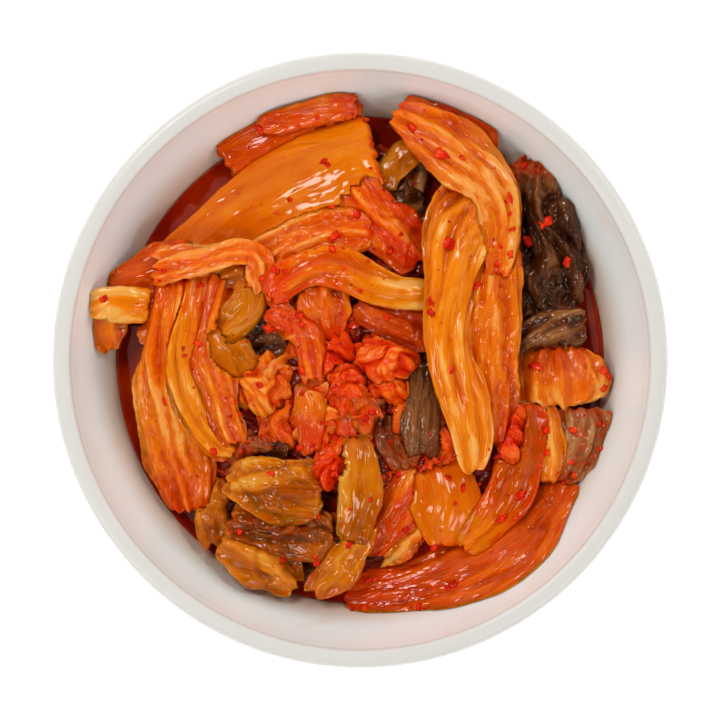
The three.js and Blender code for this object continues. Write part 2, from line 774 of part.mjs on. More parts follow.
// What lies lower: cut chunks of stem, dark stems and leaves, and a slice of spring onion.
const lowPieces = [
  strip(
    "cut_chunk",
    "stem",
    [
      [15.6, -21, 43, 4.2, 0, 40],
      [17.4, -27.6, 44.2, 6.6, 0, 60],
      [17.6, -33.4, 43.2, 6, 0, 60],
      [17.6, -37.6, 41.6, 2.4, 0, 40],
    ],
    { grid: [6, 4], middle: 2.6, flakes: [[0.27, 0.55, 1.8]] },
  ),
  strip(
    "cut_sliver",
    "leaf",
    [
      [11.4, -22.6, 43.4, 2.4, 0, 50],
      [9.2, -27.6, 44, 3.6, 0, 70],
      [5.2, -33, 43.4, 3.4, 0, 70],
      [1.2, -39, 41.6, 2.2, 0, 50],
    ],
    { grid: [6, 2], middle: 2 },
  ),
  strip(
    "dark_stem",
    "dark_leaf",
    [
      [13.4, -0.4, 45, 1.8, 0, 60],
      [12.8, -7.6, 45.2, 2.7, 0, 80],
      [12.4, -14.6, 44.6, 2.9, 0, 80],
      [12.2, -19.6, 43, 1.8, 0, 60],
    ],
    { grid: [6, 2], middle: 2, ribHeight: 0.1 },
  ),
  strip(
    "thin_strand",
    "leaf",
    [
      [8.8, -4, 45.2, 0.7, 0, 60],
      [8.6, -9.6, 45.4, 1, 0, 80],
      [8, -15, 44.6, 0.9, 0, 80],
    ],
    { grid: [4, 2], middle: 1.2, ribHeight: 0, ruffle: 0.1 },
  ),
  strip(
    "brown_leaf",
    "dark_leaf",
    [
      [5.6, -10.4, 43.6, 2, 0, 50],
      [6.6, -14.6, 44.6, 3, 0, 60],
      [8.4, -19, 44, 2.6, 0, 60],
      [9.4, -22, 42.8, 1.4, 0, 50],
    ],
    { grid: [5, 3] },
  ),
  strip(
    "purple_leaf",
    "dark_leaf",
    [
      [1.6, 10, 45.2, 1.5, 0, 50],
      [6.8, 7.2, 46, 2.2, 0, 60],
      [11.4, 4, 45.6, 2.4, 0, 60],
      [13, -0.6, 44.6, 1.2, 0, 50],
    ],
    { grid: [4, 2] },
  ),
  strip(
    "olive_leaf",
    "dark_leaf",
    [
      [-24.2, 3, 44.6, 2.6, 0, 30],
      [-20, 5.4, 45.6, 4.2, 0, 40],
      [-14.6, 5.6, 45.2, 3.8, 0, 40],
    ],
    { grid: [4, 3], flakes: [[0.72, 0.15, 3]] },
  ),
  strip(
    "onion_slice",
    "green_leaf",
    [
      [4.8, 34, 43.6, 1.5, 0, 70],
      [6.6, 37.6, 44.8, 1.9, 0, 100],
      [9.8, 41, 45.2, 1.8, 0, 100],
      [12, 42.8, 44.4, 0.9, 0, 70],
    ],
    { grid: [6, 2], ribHeight: 0.1 },
  ),
  strip(
    "onion_leaf",
    "dark_leaf",
    [
      [5.4, 31.2, 42.6, 2.2, 0, 50],
      [9, 30.4, 43.4, 3.6, 0, 60],
      [13.4, 31.4, 43, 3, 0, 50],
    ],
    { grid: [4, 2] },
  ),
  strip(
    "floating_leaf",
    "leaf",
    [
      [-3, -47.4, 39, 1.6, -10, 20],
      [8, -46, 40.2, 4.6, -22, 20],
      [18.5, -42.4, 41.6, 7.4, -32, 20],
      [29, -36.2, 43, 9, -38, 24],
      [36.6, -28.6, 41.6, 6, -30, 24],
      [40.8, -22.5, 39.4, 2.4, -15, 20],
    ],
    { grid: [7, 3], middle: 1.3, ribHeight: 0.15, waves: 4, flakes: [[0.38, -0.4, 2.4]] },
  ),
];

const PIECES = [
  ...longLeaf,
  ...archPieces,
  ...leftLeaf,
  ...leftEnd,
  ...middlePieces,
  ...upperPieces,
  ...greenBunch,
  ...rightPieces,
  ...darkLeaf,
  ...lowPieces,
];

// ---- the packed heart ----
// The lowest point of the given geometries near (x, y), as far as reach.
function lowestNear(geometries, x, y, reach) {
  let lowest = Infinity;
  for (const { attributes } of geometries) {
    for (let i = 0; i < attributes.position.count; i++) {
      const away = Math.hypot(attributes.position.getX(i) - x, attributes.position.getY(i) - y);
      if (away < reach) lowest = Math.min(lowest, attributes.position.getZ(i));
    }
  }
  return lowest;
}

// A mound that follows the bowl from below. Its top falls from the crown to the shoulder.
function moundGeometry(grow = 0) {
  const segments = 30;
  const rings = 9;
  const top = Array.from({ length: rings }, (_, i) => {
    const share = Math.pow(i / (rings - 1), 0.8);
    const fall = (HEART_CROWN - HEART_SHOULDER) * Math.pow(share, 3);
    return [(HEART_RADIUS + grow) * share, HEART_CROWN - fall + grow];
  });
  const wallSpace = 5; // brine between the mound and the wall
  const under = [18, 32].map((z) => [innerRadius(z) - wallSpace + grow, z - grow]);
  return turned([[0, HEART_FLOOR - grow], ...under, ...top.reverse()], segments);
}

// The mound's top is lumpy, and gives way under the pieces that lie on it.
function heartSolid(pieces) {
  const geometry = moundGeometry();
  const position = geometry.attributes.position;
  for (let i = 0; i < position.count; i++) {
    const [x, y, z] = [position.getX(i), position.getY(i), position.getZ(i)];
    const share = Math.hypot(x, y) / HEART_RADIUS;
    if (z < BRINE_LEVEL || share > 0.99) continue;
    const lumps = Math.sin(0.32 * x + 0.2 * y) * Math.cos(0.27 * y - 0.16 * x);
    const roof = lowestNear(pieces, x, y, BED_REACH) - 2 * GAP;
    position.setZ(i, Math.min(z + 1.2 * lumps * (1 - Math.pow(share, 4)), roof));
  }
  return solidFrom(geometry);
}

// ---- putting it together ----
const solidOf = (piece, grow, lift) =>
  piece.kind === "strip" ? stripSolid(piece, grow, lift) : lumpSolid(piece, grow, lift);

const kimchi = new THREE.Group();
kimchi.name = "kimchi_in_bowl";

function place(name, finish, geometry) {
  const material = new THREE.MeshStandardMaterial({ metalness: 0, ...FINISHES[finish] });
  const mesh = new THREE.Mesh(geometry, material);
  mesh.name = name;
  kimchi.add(mesh);
}

const room = insideSolid(BOWL_HEIGHT);
let pressed = null; // everything laid so far, grown by the gap and raised
for (const piece of PIECES) {
  let body = solidOf(piece, 0, 0);
  for (const flake of piece.flakes ?? []) body = body.add(flakeSolid(piece, flake));
  body = body.intersect(room);
  if (pressed) body = body.subtract(pressed);
  place(piece.name, piece.finish, geometryFrom(finished(body)));
  const press = solidOf(piece, GAP, 0).add(solidOf(piece, GAP, PRESS));
  pressed = pressed ? pressed.add(press) : press;
}

const heart = heartSolid(kimchi.children.map((mesh) => mesh.geometry)).subtract(pressed);
place("packed_heart", "heart", geometryFrom(finished(heart)));

const mound = solidFrom(moundGeometry(2 * GAP));
const brine = insideSolid(BRINE_LEVEL).subtract(mound).subtract(pressed);
place("brine", "brine", geometryFrom(finished(brine)));

place("bowl", "porcelain", bowlGeometry());

export default kimchi;
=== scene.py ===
# %% [markdown]
# # Cabbage kimchi in a small porcelain bowl
#
# A CAD model already says where everything is: a turned bowl, the brine in it, a packed heart of kimchi, and
# fifty-six pieces of leaf and stem that lie on the heart. Its faces are large and plain. Here we give every
# piece its folds, fibres and torn edges, and then the wet, chilli-stained finish.
#
# Everything is in millimetres while we shape it, because a leaf is easier to think about that way. A piece
# turns into metres at the moment it becomes an object.

import json
import math
import random

import bmesh
import bpy
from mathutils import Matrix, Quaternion, Vector, noise
from mathutils.bvhtree import BVHTree

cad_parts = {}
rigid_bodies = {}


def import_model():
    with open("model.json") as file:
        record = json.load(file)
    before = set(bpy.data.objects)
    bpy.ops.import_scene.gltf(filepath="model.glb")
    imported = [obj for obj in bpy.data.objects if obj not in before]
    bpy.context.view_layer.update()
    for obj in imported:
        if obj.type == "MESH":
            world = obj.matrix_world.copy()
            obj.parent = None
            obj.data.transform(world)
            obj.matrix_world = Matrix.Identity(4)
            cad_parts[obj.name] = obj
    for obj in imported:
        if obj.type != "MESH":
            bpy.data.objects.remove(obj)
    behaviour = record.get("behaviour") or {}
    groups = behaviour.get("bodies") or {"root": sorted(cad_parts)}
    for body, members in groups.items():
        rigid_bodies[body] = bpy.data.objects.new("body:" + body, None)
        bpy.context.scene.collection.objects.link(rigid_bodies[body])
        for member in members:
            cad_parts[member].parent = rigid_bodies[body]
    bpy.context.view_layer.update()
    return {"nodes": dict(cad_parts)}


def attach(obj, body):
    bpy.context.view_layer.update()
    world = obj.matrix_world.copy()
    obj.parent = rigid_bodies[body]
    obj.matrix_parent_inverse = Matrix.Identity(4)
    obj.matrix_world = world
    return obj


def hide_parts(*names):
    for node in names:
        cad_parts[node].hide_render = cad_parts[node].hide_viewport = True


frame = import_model()

MM = 0.001  # one millimetre in metres
print("CAD nodes:", len(frame["nodes"]))

# %% [markdown]
# ## Colours and shader nodes
#
# We pick colours as sRGB hex values, the way a colour picker shows them. Shaders work in linear light, so one
# function converts them. A second function adds a shader node, sets it up and links it in a single call,
# which keeps each material readable as a short list of steps.


# %% Helpers for colours and nodes
def linear(hex_colour):
    """The linear RGBA of an sRGB hex colour."""
    shares = [int(hex_colour[i : i + 2], 16) / 255 for i in (1, 3, 5)]
    return (*[s / 12.92 if s <= 0.04045 else ((s + 0.055) / 1.055) ** 2.4 for s in shares], 1.0)


def add(tree, kind, inputs=None, stops=None, **settings):
    """Add a node, set its properties, then set or link its inputs. stops are a ramp's (place, hex)."""
    node = tree.nodes.new(kind)
    for name, value in settings.items():
        setattr(node, name, value)
    for socket, value in (inputs or {}).items():
        if isinstance(value, bpy.types.NodeSocket):
            tree.links.new(value, node.inputs[socket])
        else:
            node.inputs[socket].default_value = value
    for i, (place, colour) in enumerate(stops or ()):
        ramp = node.color_ramp.elements
        stop = ramp[i] if i < len(ramp) else ramp.new(place)
        stop.position = place
        stop.color = linear(colour)
    return node


def new_material(name):
    """An empty node material. Returns it, its tree and its output node."""
    material = bpy.data.materials.new(name)
    material.use_nodes = True
    tree = material.node_tree
    tree.nodes.clear()
    return material, tree, add(tree, "ShaderNodeOutputMaterial")


def per_mm(size):
    """The noise scale that gives features of this size in mm, in Object coordinates."""
    return 1 / (size * MM)


print("middle grey in linear light:", round(linear("#808080")[0], 3))


# %% [markdown]
# ## Wet kimchi leaf
#
# Fermented cabbage is soft and full of brine. Light enters it and comes out again nearby, which is what the
# subsurface part does, and red light goes furthest. A film of brine and chilli oil lies on top. The coat stands
# for it: smooth, and with the refractive index of oil (1.45).
#
# The same recipe dresses every leaf. What changes are four colours (of the deep valleys, the middle, the pale
# crests and the clearest places) and four attributes that the geometry carries: `tone` says how pale the leaf
# is, `red` how much chilli paste clings to it, `crest` how far a point stands on a fold, and `grain` runs along
# and across the leaf in mm, so that fibres and wrinkles follow its bends. Paler crests and deeper valleys are
# partly the leaf's own paler ribs and partly painted light; the pale lines on wrinkle ridges are painted
# highlight.
#
# We first write down the sizes of the patterns, and the few helpers that draw them.

# %% Patterns on a leaf
VEIN, FIBRE = (14, 1.0), (6, 0.3)  # length along the leaf and width across it, in mm
WRINKLE, FINE_WRINKLE = (4.5, 1.6), (1.8, 0.8)
BLOTCH, SMEAR = 6, 2.2  # mm
DUST_CELL = 1.1  # mm: chilli dust lies in some of these cells, at most one speck in each
DUST_SPECK = 0.14  # radius of a speck, as a share of its cell: about a third of a millimetre across


def weighed(tree, values, start=0.0):
    """The sum of (socket, weight) pairs."""
    total = start
    for value, weight in values:
        inputs = {0: value, 1: weight, 2: total}
        total = add(tree, "ShaderNodeMath", inputs, operation="MULTIPLY_ADD").outputs[0]
    return total


def along_grain(tree, grain, size):
    """Coordinates in which one unit is as long and as wide as the pattern's size in mm."""
    inputs = {0: grain, 1: (1 / size[0], 1 / size[1], 1)}
    return add(tree, "ShaderNodeVectorMath", inputs, operation="MULTIPLY").outputs[0]


def streaks_of(tree, grain, size):
    """Soft streaks that run along the leaf, for veins and fibres."""
    inputs = {"Vector": along_grain(tree, grain, size), "Scale": 1.0, "Detail": 2.0}
    return add(tree, "ShaderNodeTexNoise", inputs).outputs[0]


def wrinkles_of(tree, grain, size):
    """How far smooth noise is from its middle value. Where it is 0 a limp leaf has a sharp little ridge."""
    inputs = {"Vector": along_grain(tree, grain, size), "Scale": 1.0, "Detail": 1.0, "Distortion": 0.6}
    swing = add(tree, "ShaderNodeTexNoise", inputs).outputs[0]
    away = add(tree, "ShaderNodeMath", {0: swing, 1: 0.5}, operation="SUBTRACT").outputs[0]
    return add(tree, "ShaderNodeMath", {0: away}, operation="ABSOLUTE").outputs[0]


print("veins and fibres, mm:", VEIN, FIBRE, "wrinkles, mm:", WRINKLE, FINE_WRINKLE)


# %% Chilli paste and dust
def with_paste(tree, colour, spot, crest, red, paste):
    """Lay chilli paste over a colour. It gathers in smears, mostly off the crests."""
    inputs = {"Vector": spot, "Scale": per_mm(SMEAR), "Detail": 4.0}
    smears = add(tree, "ShaderNodeTexNoise", inputs).outputs[0]
    patchy = weighed(tree, ((crest, -0.3), (smears, 0.9), (red, 1.0)))
    covered = add(
        tree,
        "ShaderNodeMapRange",
        {"Value": patchy, "From Min": 0.42, "From Max": 1.0, "To Max": 0.8},
        interpolation_type="SMOOTHSTEP",
    ).outputs[0]
    return add(
        tree, "ShaderNodeMix", {0: covered, 6: colour, 7: linear(paste)}, data_type="RGBA"
    ).outputs[2]


def with_dust(tree, colour, spot, red, speckle):
    """Scatter specks of chilli dust over a colour, more of them where it is red."""
    cells = add(tree, "ShaderNodeTexVoronoi", {"Vector": spot, "Scale": per_mm(DUST_CELL)})
    inputs = {0: cells.outputs["Distance"], 1: DUST_SPECK}
    near = add(tree, "ShaderNodeMath", inputs, operation="LESS_THAN").outputs[0]
    chance = add(tree, "ShaderNodeSeparateColor", {0: cells.outputs["Color"]}).outputs[0]
    wanted = weighed(tree, ((red, 0.35 * speckle),), 0.08 * speckle)
    chosen = add(tree, "ShaderNodeMath", {0: chance, 1: wanted}, operation="LESS_THAN").outputs[0]
    speck = add(tree, "ShaderNodeMath", {0: near, 1: chosen}, operation="MULTIPLY").outputs[0]
    return add(
        tree, "ShaderNodeMix", {0: speck, 6: colour, 7: linear("#c82000")}, data_type="RGBA"
    ).outputs[2]


# %% The leaf material
def leaf_material(name, colours, paste="#e84400", subsurface=0.55, speckle=0.5, creased=1.0):
    """Wet kimchi leaf. colours are those of the valleys, the middle, the crests and the clearest places."""
    material, tree, output = new_material(name)
    tone, red, crest = [
        add(tree, "ShaderNodeAttribute", attribute_name=carried).outputs["Fac"]
        for carried in ("tone", "red", "crest")
    ]
    grain = add(tree, "ShaderNodeAttribute", attribute_name="grain").outputs["Vector"]
    spot = add(tree, "ShaderNodeTexCoord").outputs["Object"]
    veins, fibres = [streaks_of(tree, grain, size) for size in (VEIN, FIBRE)]
    wrinkles, fine_wrinkles = [wrinkles_of(tree, grain, size) for size in (WRINKLE, FINE_WRINKLE)]
    inputs = {"Vector": spot, "Scale": per_mm(BLOTCH), "Detail": 3.0}
    blotches = add(tree, "ShaderNodeTexNoise", inputs).outputs[0]

    # How pale a point is: the leaf's own tone, lifted on crests, veins, fibres and ridges, and in blotches. On
    # crests this is partly paler rib and partly painted light (lit crests, shaded valleys); on wrinkle ridges
    # it is painted highlight.
    leaf_parts = (tone, 1.0), (crest, 0.75), (veins, 0.25), (fibres, 0.1), (blotches, 0.35)
    painted_highlight_ridges = (wrinkles, -0.6 * creased), (fine_wrinkles, -0.4 * creased)
    paleness_and_painted_light = weighed(tree, leaf_parts + painted_highlight_ridges, -0.67)
    stops = list(zip((0.05, 0.45, 0.85, 1.0), colours))
    flesh = add(tree, "ShaderNodeValToRGB", {"Fac": paleness_and_painted_light}, stops=stops).outputs["Color"]
    pasted = with_paste(tree, flesh, spot, crest, red, paste)

    # The skin has all the relief that is too small to model. The film of brine fills the fibres.
    creases = (veins, 0.5), (wrinkles, -2.0 * creased), (fine_wrinkles, -0.8 * creased)
    rough_skin, wet_film = [
        add(
            tree,
            "ShaderNodeBump",
            {"Height": weighed(tree, parts), "Strength": 1.0, "Distance": 0.25 * MM},
        ).outputs[0]
        for parts in (creases + ((fibres, 0.3),), creases)
    ]
    skin = add(
        tree,
        "ShaderNodeBsdfPrincipled",
        {
            "Base Color": with_dust(tree, pasted, spot, red, speckle),
            "Roughness": 0.4,
            "Specular IOR Level": 0.0,
            "Subsurface Weight": subsurface,
            "Subsurface Radius": (1.0, 0.4, 0.12),
            "Subsurface Scale": 2.0 * MM,
            "Coat Weight": 0.9,
            "Coat Roughness": 0.08,
            "Coat IOR": 1.45,
            "Normal": rough_skin,
            "Coat Normal": wet_film,
        },
    )
    tree.links.new(skin.outputs[0], output.inputs[0])
    return material


# %% The finishes of the leaves
FINISHES = {
    "stem": leaf_material(
        "Fermented cabbage rib, brine stained",
        ("#b64e00", "#dc6c00", "#f09010", "#f2b05a"),
        creased=0.45,
    ),
    "leaf": leaf_material(
        "Fermented cabbage leaf, brine stained",
        ("#ac3800", "#da5a00", "#f0820c", "#f2a44c"),
    ),
    "red_leaf": leaf_material(
        "Fermented cabbage leaf, coated in chilli paste",
        ("#a82400", "#e85400", "#f87a0c", "#fa9a44"),
        paste="#e23000",
    ),
    "green_leaf": leaf_material(
        "Fermented green cabbage leaf",
        ("#562800", "#b25c00", "#d8800c", "#dc9c38"),
        paste="#cc5004",
        speckle=0.4,
    ),
    "dark_leaf": leaf_material(
        "Fermented outer cabbage leaf, browned",
        ("#1c0a02", "#5c3010", "#a0683a", "#b88a58"),
        paste="#c0480a",
        subsurface=0.15,
    ),
}
print("leaf finishes:", len(FINISHES))

# %% [markdown]
# ## The glazed porcelain bowl
#
# A bowl like this is thrown or pressed, glazed, and fired. Its profile is one closed line, so we draw half of
# it as edges and spin it round the vertical axis. The wall and the lip are the same curves as in the CAD part.
# The glaze is a clear glass over a white body: smooth (roughness 0.2) and with glass's refractive index (1.5).
# Only the foot ring, which stands in the kiln, stays unglazed and matt.
#
# The inside is coloured differently from the lip and the outside, which get a painted shade, so the mesh
# carries an attribute that tells the two apart.

# %% Bowl sizes and walls, in mm
BOWL_HEIGHT = 58
RIM_RADIUS = 60
LIP_WIDTH = 3.7
LIP_ROUND = 1.4
FLOOR_TOP = 10
FLOOR_THICKNESS = 4.5
OUTER_DEPTH = 52
FOOT_RADIUS = 27
FOOT_WIDTH = 3.4
WALL_FOOT = 12.3  # where the outer wall meets the foot ring
BRINE_LEVEL = 38
INNER_RIM_RADIUS = RIM_RADIUS - LIP_WIDTH
INNER_DEPTH = BOWL_HEIGHT - FLOOR_TOP
WALL_DROP, WALL_SWELL = 1.6, 0.47  # powers of the wall's curve: steep at the rim, round towards the floor


def wall_radius(rim_radius, depth, z):
    """Radius at height z of a wall that starts at the rim and closes at this depth."""
    down = min(max((BOWL_HEIGHT - z) / depth, 0), 1)
    return rim_radius * (1 - down**WALL_DROP) ** WALL_SWELL


def inner_radius(z):
    """Radius of the bowl's inside."""
    return wall_radius(INNER_RIM_RADIUS, INNER_DEPTH, z)


def outer_radius(z):
    """Radius of the bowl's outside."""
    return wall_radius(RIM_RADIUS, OUTER_DEPTH, z)


def heights(low, high, count):
    """Heights that come closer together towards the low end."""
    return [low + (high - low) * (i / (count - 1)) ** 1.8 for i in range(count)]


print("inner radius at the brine:", round(inner_radius(BRINE_LEVEL), 1), "mm")


# %% A smooth curve through a table
def smooth_curve(rows, share):
    """The values at a share, from 0 to 1, of a smooth curve through the rows of a table."""
    place = min(max(share, 0), 1) * (len(rows) - 1)
    i = min(int(place), len(rows) - 2)
    t = place - i
    b, c = rows[i], rows[i + 1]
    a = rows[i - 1] if i else [2 * p - q for p, q in zip(b, c)]
    d = rows[i + 2] if i + 2 < len(rows) else [2 * q - p for p, q in zip(b, c)]
    values = []
    for p, q, r, s in zip(a, b, c, d):
        start, end = (r - p) / 2, (s - q) / 2
        bend = 3 * (r - q) - 2 * start - end
        twist = 2 * (q - r) + start + end
        values.append(q + start * t + bend * t**2 + twist * t**3)
    return values


print("halfway from 0 to 2 by way of 3:", smooth_curve([(0,), (3,), (2,)], 0.5))


# %% Helpers that make a mesh, and an object of it
def spin_profile(profile, steps):
    """Spin a profile of (radius, height) in mm round the vertical axis."""
    bm = bmesh.new()
    verts = [bm.verts.new((radius, 0, height)) for radius, height in profile]
    edges = [bm.edges.new(pair) for pair in zip(verts, verts[1:])]
    bmesh.ops.spin(
        bm,
        geom=verts + edges,
        axis=(0, 0, 1),
        cent=(0, 0, 0),
        angle=2 * math.pi,
        steps=steps,
        use_merge=True,
    )
    bmesh.ops.remove_doubles(bm, verts=bm.verts, dist=1e-4)
    bmesh.ops.recalc_face_normals(bm, faces=bm.faces)
    return bm


def add_piece(bm, name, material, replaced=None):
    """Turn a mesh in mm into a smooth object that stands in for its CAD node."""
    bmesh.ops.scale(bm, vec=(MM, MM, MM), verts=bm.verts)
    mesh = bpy.data.meshes.new(name)
    bm.to_mesh(mesh)
    bm.free()
    mesh.materials.append(material)
    mesh.shade_smooth()
    piece = bpy.data.objects.new(name, mesh)
    bpy.context.scene.collection.objects.link(piece)
    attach(piece, "root")
    if replaced:
        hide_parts(replaced)
    return piece


# %% Spin the bowl
lip = [
    (outer_radius(BOWL_HEIGHT - LIP_ROUND), BOWL_HEIGHT - LIP_ROUND),
    (RIM_RADIUS - 0.4 * LIP_ROUND, BOWL_HEIGHT - 0.25 * LIP_ROUND),
    (RIM_RADIUS - LIP_ROUND, BOWL_HEIGHT),
    (INNER_RIM_RADIUS + 0.6 * LIP_ROUND, BOWL_HEIGHT - 0.1),
    (INNER_RIM_RADIUS + 0.15 * LIP_ROUND, BOWL_HEIGHT - 0.3 * LIP_ROUND),
    (inner_radius(BOWL_HEIGHT - LIP_ROUND), BOWL_HEIGHT - LIP_ROUND),
]
foot = [
    (0, FLOOR_TOP - FLOOR_THICKNESS),
    (FOOT_RADIUS - FOOT_WIDTH - 1, FLOOR_TOP - FLOOR_THICKNESS),
    (FOOT_RADIUS - FOOT_WIDTH - 0.5, FLOOR_TOP - FLOOR_THICKNESS - 0.6),
    (FOOT_RADIUS - FOOT_WIDTH, 0.5),
    (FOOT_RADIUS - FOOT_WIDTH + 0.5, 0),
    (FOOT_RADIUS - 0.7, 0),
    (FOOT_RADIUS, 0.8),
]
outside = [(outer_radius(z), z) for z in heights(WALL_FOOT, BOWL_HEIGHT - LIP_ROUND, 36)]
inside = [(inner_radius(z), z) for z in heights(FLOOR_TOP, BOWL_HEIGHT - LIP_ROUND, 40)]
inside[0] = (0, FLOOR_TOP)
rounded_lip = [tuple(smooth_curve(lip, i / 24)) for i in range(1, 24)]
bowl_mesh = spin_profile(foot + outside + rounded_lip + inside[::-1], steps=160)
inside_layer = bowl_mesh.verts.layers.float.new("inside")
for vert in bowl_mesh.verts:
    x, y, z = vert.co
    is_inside = z > FLOOR_TOP - 0.1 and math.hypot(x, y) < inner_radius(z) + 0.5
    vert[inside_layer] = 1.0 if is_inside else 0.0
print("bowl:", len(bowl_mesh.verts), "corners")

# %% [markdown]
# The body under the glaze is white, with the faintest clouds. The lip and the outside are painted a little
# greyer:
# painted shade, which keeps the rounded lip a little darker than the white floor around it.

# %% The porcelain's colour, with painted shade on the lip and the outside
porcelain, tree, output = new_material("Glazed porcelain, unglazed foot")
spot = add(tree, "ShaderNodeTexCoord").outputs["Object"]
height = add(tree, "ShaderNodeSeparateXYZ", {0: spot}).outputs["Z"]
inner_side = add(tree, "ShaderNodeAttribute", attribute_name="inside").outputs["Fac"]
cloud = add(
    tree, "ShaderNodeTexNoise", {"Vector": spot, "Scale": per_mm(18), "Detail": 2.0}
).outputs[0]
white = add(
    tree, "ShaderNodeValToRGB", {"Fac": cloud}, stops=[(0.3, "#f3faf8"), (0.7, "#f8fdfb")]
).outputs["Color"]
below_lip = add(
    tree, "ShaderNodeMapRange", {"Value": height, "From Min": 57.4 * MM, "From Max": 56 * MM}
).outputs[0]
# Painted shade: the lip and the outside take the greyer colour, and only the inside below the lip stays white.
free_of_lip_shade = add(tree, "ShaderNodeMath", {0: below_lip, 1: inner_side}, operation="MULTIPLY").outputs[0]
body = add(
    tree, "ShaderNodeMix", {0: free_of_lip_shade, 6: linear("#dad8d3"), 7: white}, data_type="RGBA"
).outputs[2]
print("nodes for the white body:", len(tree.nodes))

# %% [markdown]
# Brine that was splashed on the wall has dried to a faint orange, in thin streaks. Lower down, towards the
# kimchi, a painted shade makes the wall darker and warmer. Both are on the inner side only.

# %% Brine stains and painted shade on the wall
streaks = add(
    tree,
    "ShaderNodeTexNoise",
    {"Vector": spot, "Scale": per_mm(12), "Detail": 5.0, "Distortion": 1.2},
).outputs[0]
dried = add(
    tree,
    "ShaderNodeMapRange",
    {"Value": streaks, "From Min": 0.58, "From Max": 0.8, "To Max": 0.3},
).outputs[0]
# Painted shade: the inner wall turns darker and warmer from 47 mm down to 35 mm, towards the kimchi.
painted_wall_shade = add(
    tree,
    "ShaderNodeMapRange",
    {"Value": height, "From Min": 47 * MM, "From Max": 35 * MM},
    interpolation_type="SMOOTHSTEP",
).outputs[0]
for amount, stain_and_shade in ((dried, "#f3d9b8"), (painted_wall_shade, "#e6c8ae")):
    inputs = {0: amount, 1: inner_side}
    share = add(tree, "ShaderNodeMath", inputs, operation="MULTIPLY").outputs[0]
    inputs = {0: share, 6: body, 7: linear(stain_and_shade)}
    body = add(tree, "ShaderNodeMix", inputs, data_type="RGBA").outputs[2]
print("with the stains:", len(tree.nodes))

# %% Glaze the bowl
glazed = add(
    tree, "ShaderNodeMapRange", {"Value": height, "From Min": 0.6 * MM, "From Max": 1.2 * MM}
).outputs[0]
rough = add(
    tree, "ShaderNodeMapRange", {"Value": glazed, "To Min": 0.7, "To Max": 0.2}
).outputs[0]
glaze = add(
    tree,
    "ShaderNodeBsdfPrincipled",
    {
        "Base Color": body,
        "Roughness": rough,
        "IOR": 1.5,
        "Specular IOR Level": 0.2,
        "Subsurface Weight": 0.2,
        "Subsurface Radius": (1.0, 0.9, 0.8),
        "Subsurface Scale": 4 * MM,
    },
)
tree.links.new(glaze.outputs[0], output.inputs[0])
bowl = add_piece(bowl_mesh, "glazed_bowl", porcelain, "bowl")
print("bowl:", len(bowl.data.polygons), "faces")

# %% [markdown]
# ## The form of a strip
#
# Each leaf is a strip that is bent along a spine. A station gives the crown of the strip (x, y, z), half its
# width, how far its left edge is rolled up and how far its section arches, and then two numbers for the
# looks: its tone (0 deep, 1 pale) and its redness. A smooth curve joins the stations.
#
# We start from a flat slab, which is a grid that was extruded once, so it is closed and its faces point
# outward. Then every corner moves to its place on the bent strip. Because the slab is only bent, it stays
# closed.
#
# The relief has three parts. Pleats run from end to end: each is round on top, and where two meet there is a
# sharp valley. Crumples bend, and are longer than wide. Fine folds are noise that is stretched far along the
# leaf: its absolute value has narrow valleys and round crests, as a limp wet leaf has.

# %% How a leaf looks unless its table says otherwise
STEP = 0.32  # mm between the grid lines of a leaf
GAP = 0.15  # mm between a leaf and the one that lies on it
WALL_GAP = 0.3  # mm between the food and the bowl's wall
FLATTER = 0.8  # the wet leaf lies flatter than its solid

# Of each kind of leaf: height and distance of its pleats, height and size of its crumples (all in mm), and how
# torn its edges are.
LOOKS = {
    "stem": {"margin": 0.9, "vein": 0.8, "vein_gap": 2.8, "crumple": 0.12, "size": 5, "ragged": 0.5},
    "leaf": {"vein": 1.1, "vein_gap": 2.2, "crumple": 0.4, "size": 4, "ragged": 0.9},
    "red_leaf": {"vein": 0.9, "vein_gap": 2.2, "crumple": 0.7, "size": 3.4, "ragged": 1},
    "green_leaf": {
        "vein": 0.9,
        "vein_gap": 4.4,
        "crumple": 1.3,
        "size": 6,
        "ragged": 0.9,
        "fineness": 0.7,
    },
    "dark_leaf": {"vein": 0.8, "vein_gap": 2.2, "crumple": 1.1, "size": 4, "ragged": 0.9},
}
FORM = {
    "middle": 1.6,  # thickness in the middle, mm
    "edge": 0.35,  # thickness at the edges, mm
    "ribs": 2,  # low ribs side by side
    "rib_height": 0.25,  # mm
    "waves": 2,  # waves of the edges from end to end
    "ruffle": 0.3,  # height of those waves, mm
    "round_end": 2.5,  # an end grows narrow over this length, mm
    "end_width": 0.5,  # share of the width that is left there
    "margin": 1.4,  # the torn edge reaches this far out, mm
    "step": STEP,
    "slant": 0,  # how far the pleats drift across, from end to end
    "fold": 0.25,  # height of the fine folds, mm
    "fineness": 1,  # above 1 the fibres are finer
    "flakes": (),  # coarse chilli flakes: share of the length, place across, size in mm
}
BALL = {"dents": 0.13, "turn": 0, "tone": 0.5, "red": 0.5}


def strip(name, finish, stations, edge_red=0.15, **form):
    """A bent strip of leaf: its stations, then whatever differs from FORM and LOOKS."""
    own = {"name": name, "finish": finish, "stations": stations, "edge_red": edge_red}
    return own | FORM | LOOKS[finish] | form


def lump(name, finish, centre, radii, **form):
    """A crumpled lump of leaf."""
    own = {"name": name, "finish": finish, "centre": centre, "radii": radii}
    return own | BALL | LOOKS[finish] | form


print("mesh step:", STEP, "mm")


# %% Pleats, crumples and folds
def billow(*position):
    """Noise from 0 in narrow valleys to 1 on round crests."""
    share = min((math.hypot(noise.noise(Vector(position)), 0.07) - 0.07) / 0.36, 1)
    return share * (2 - share)


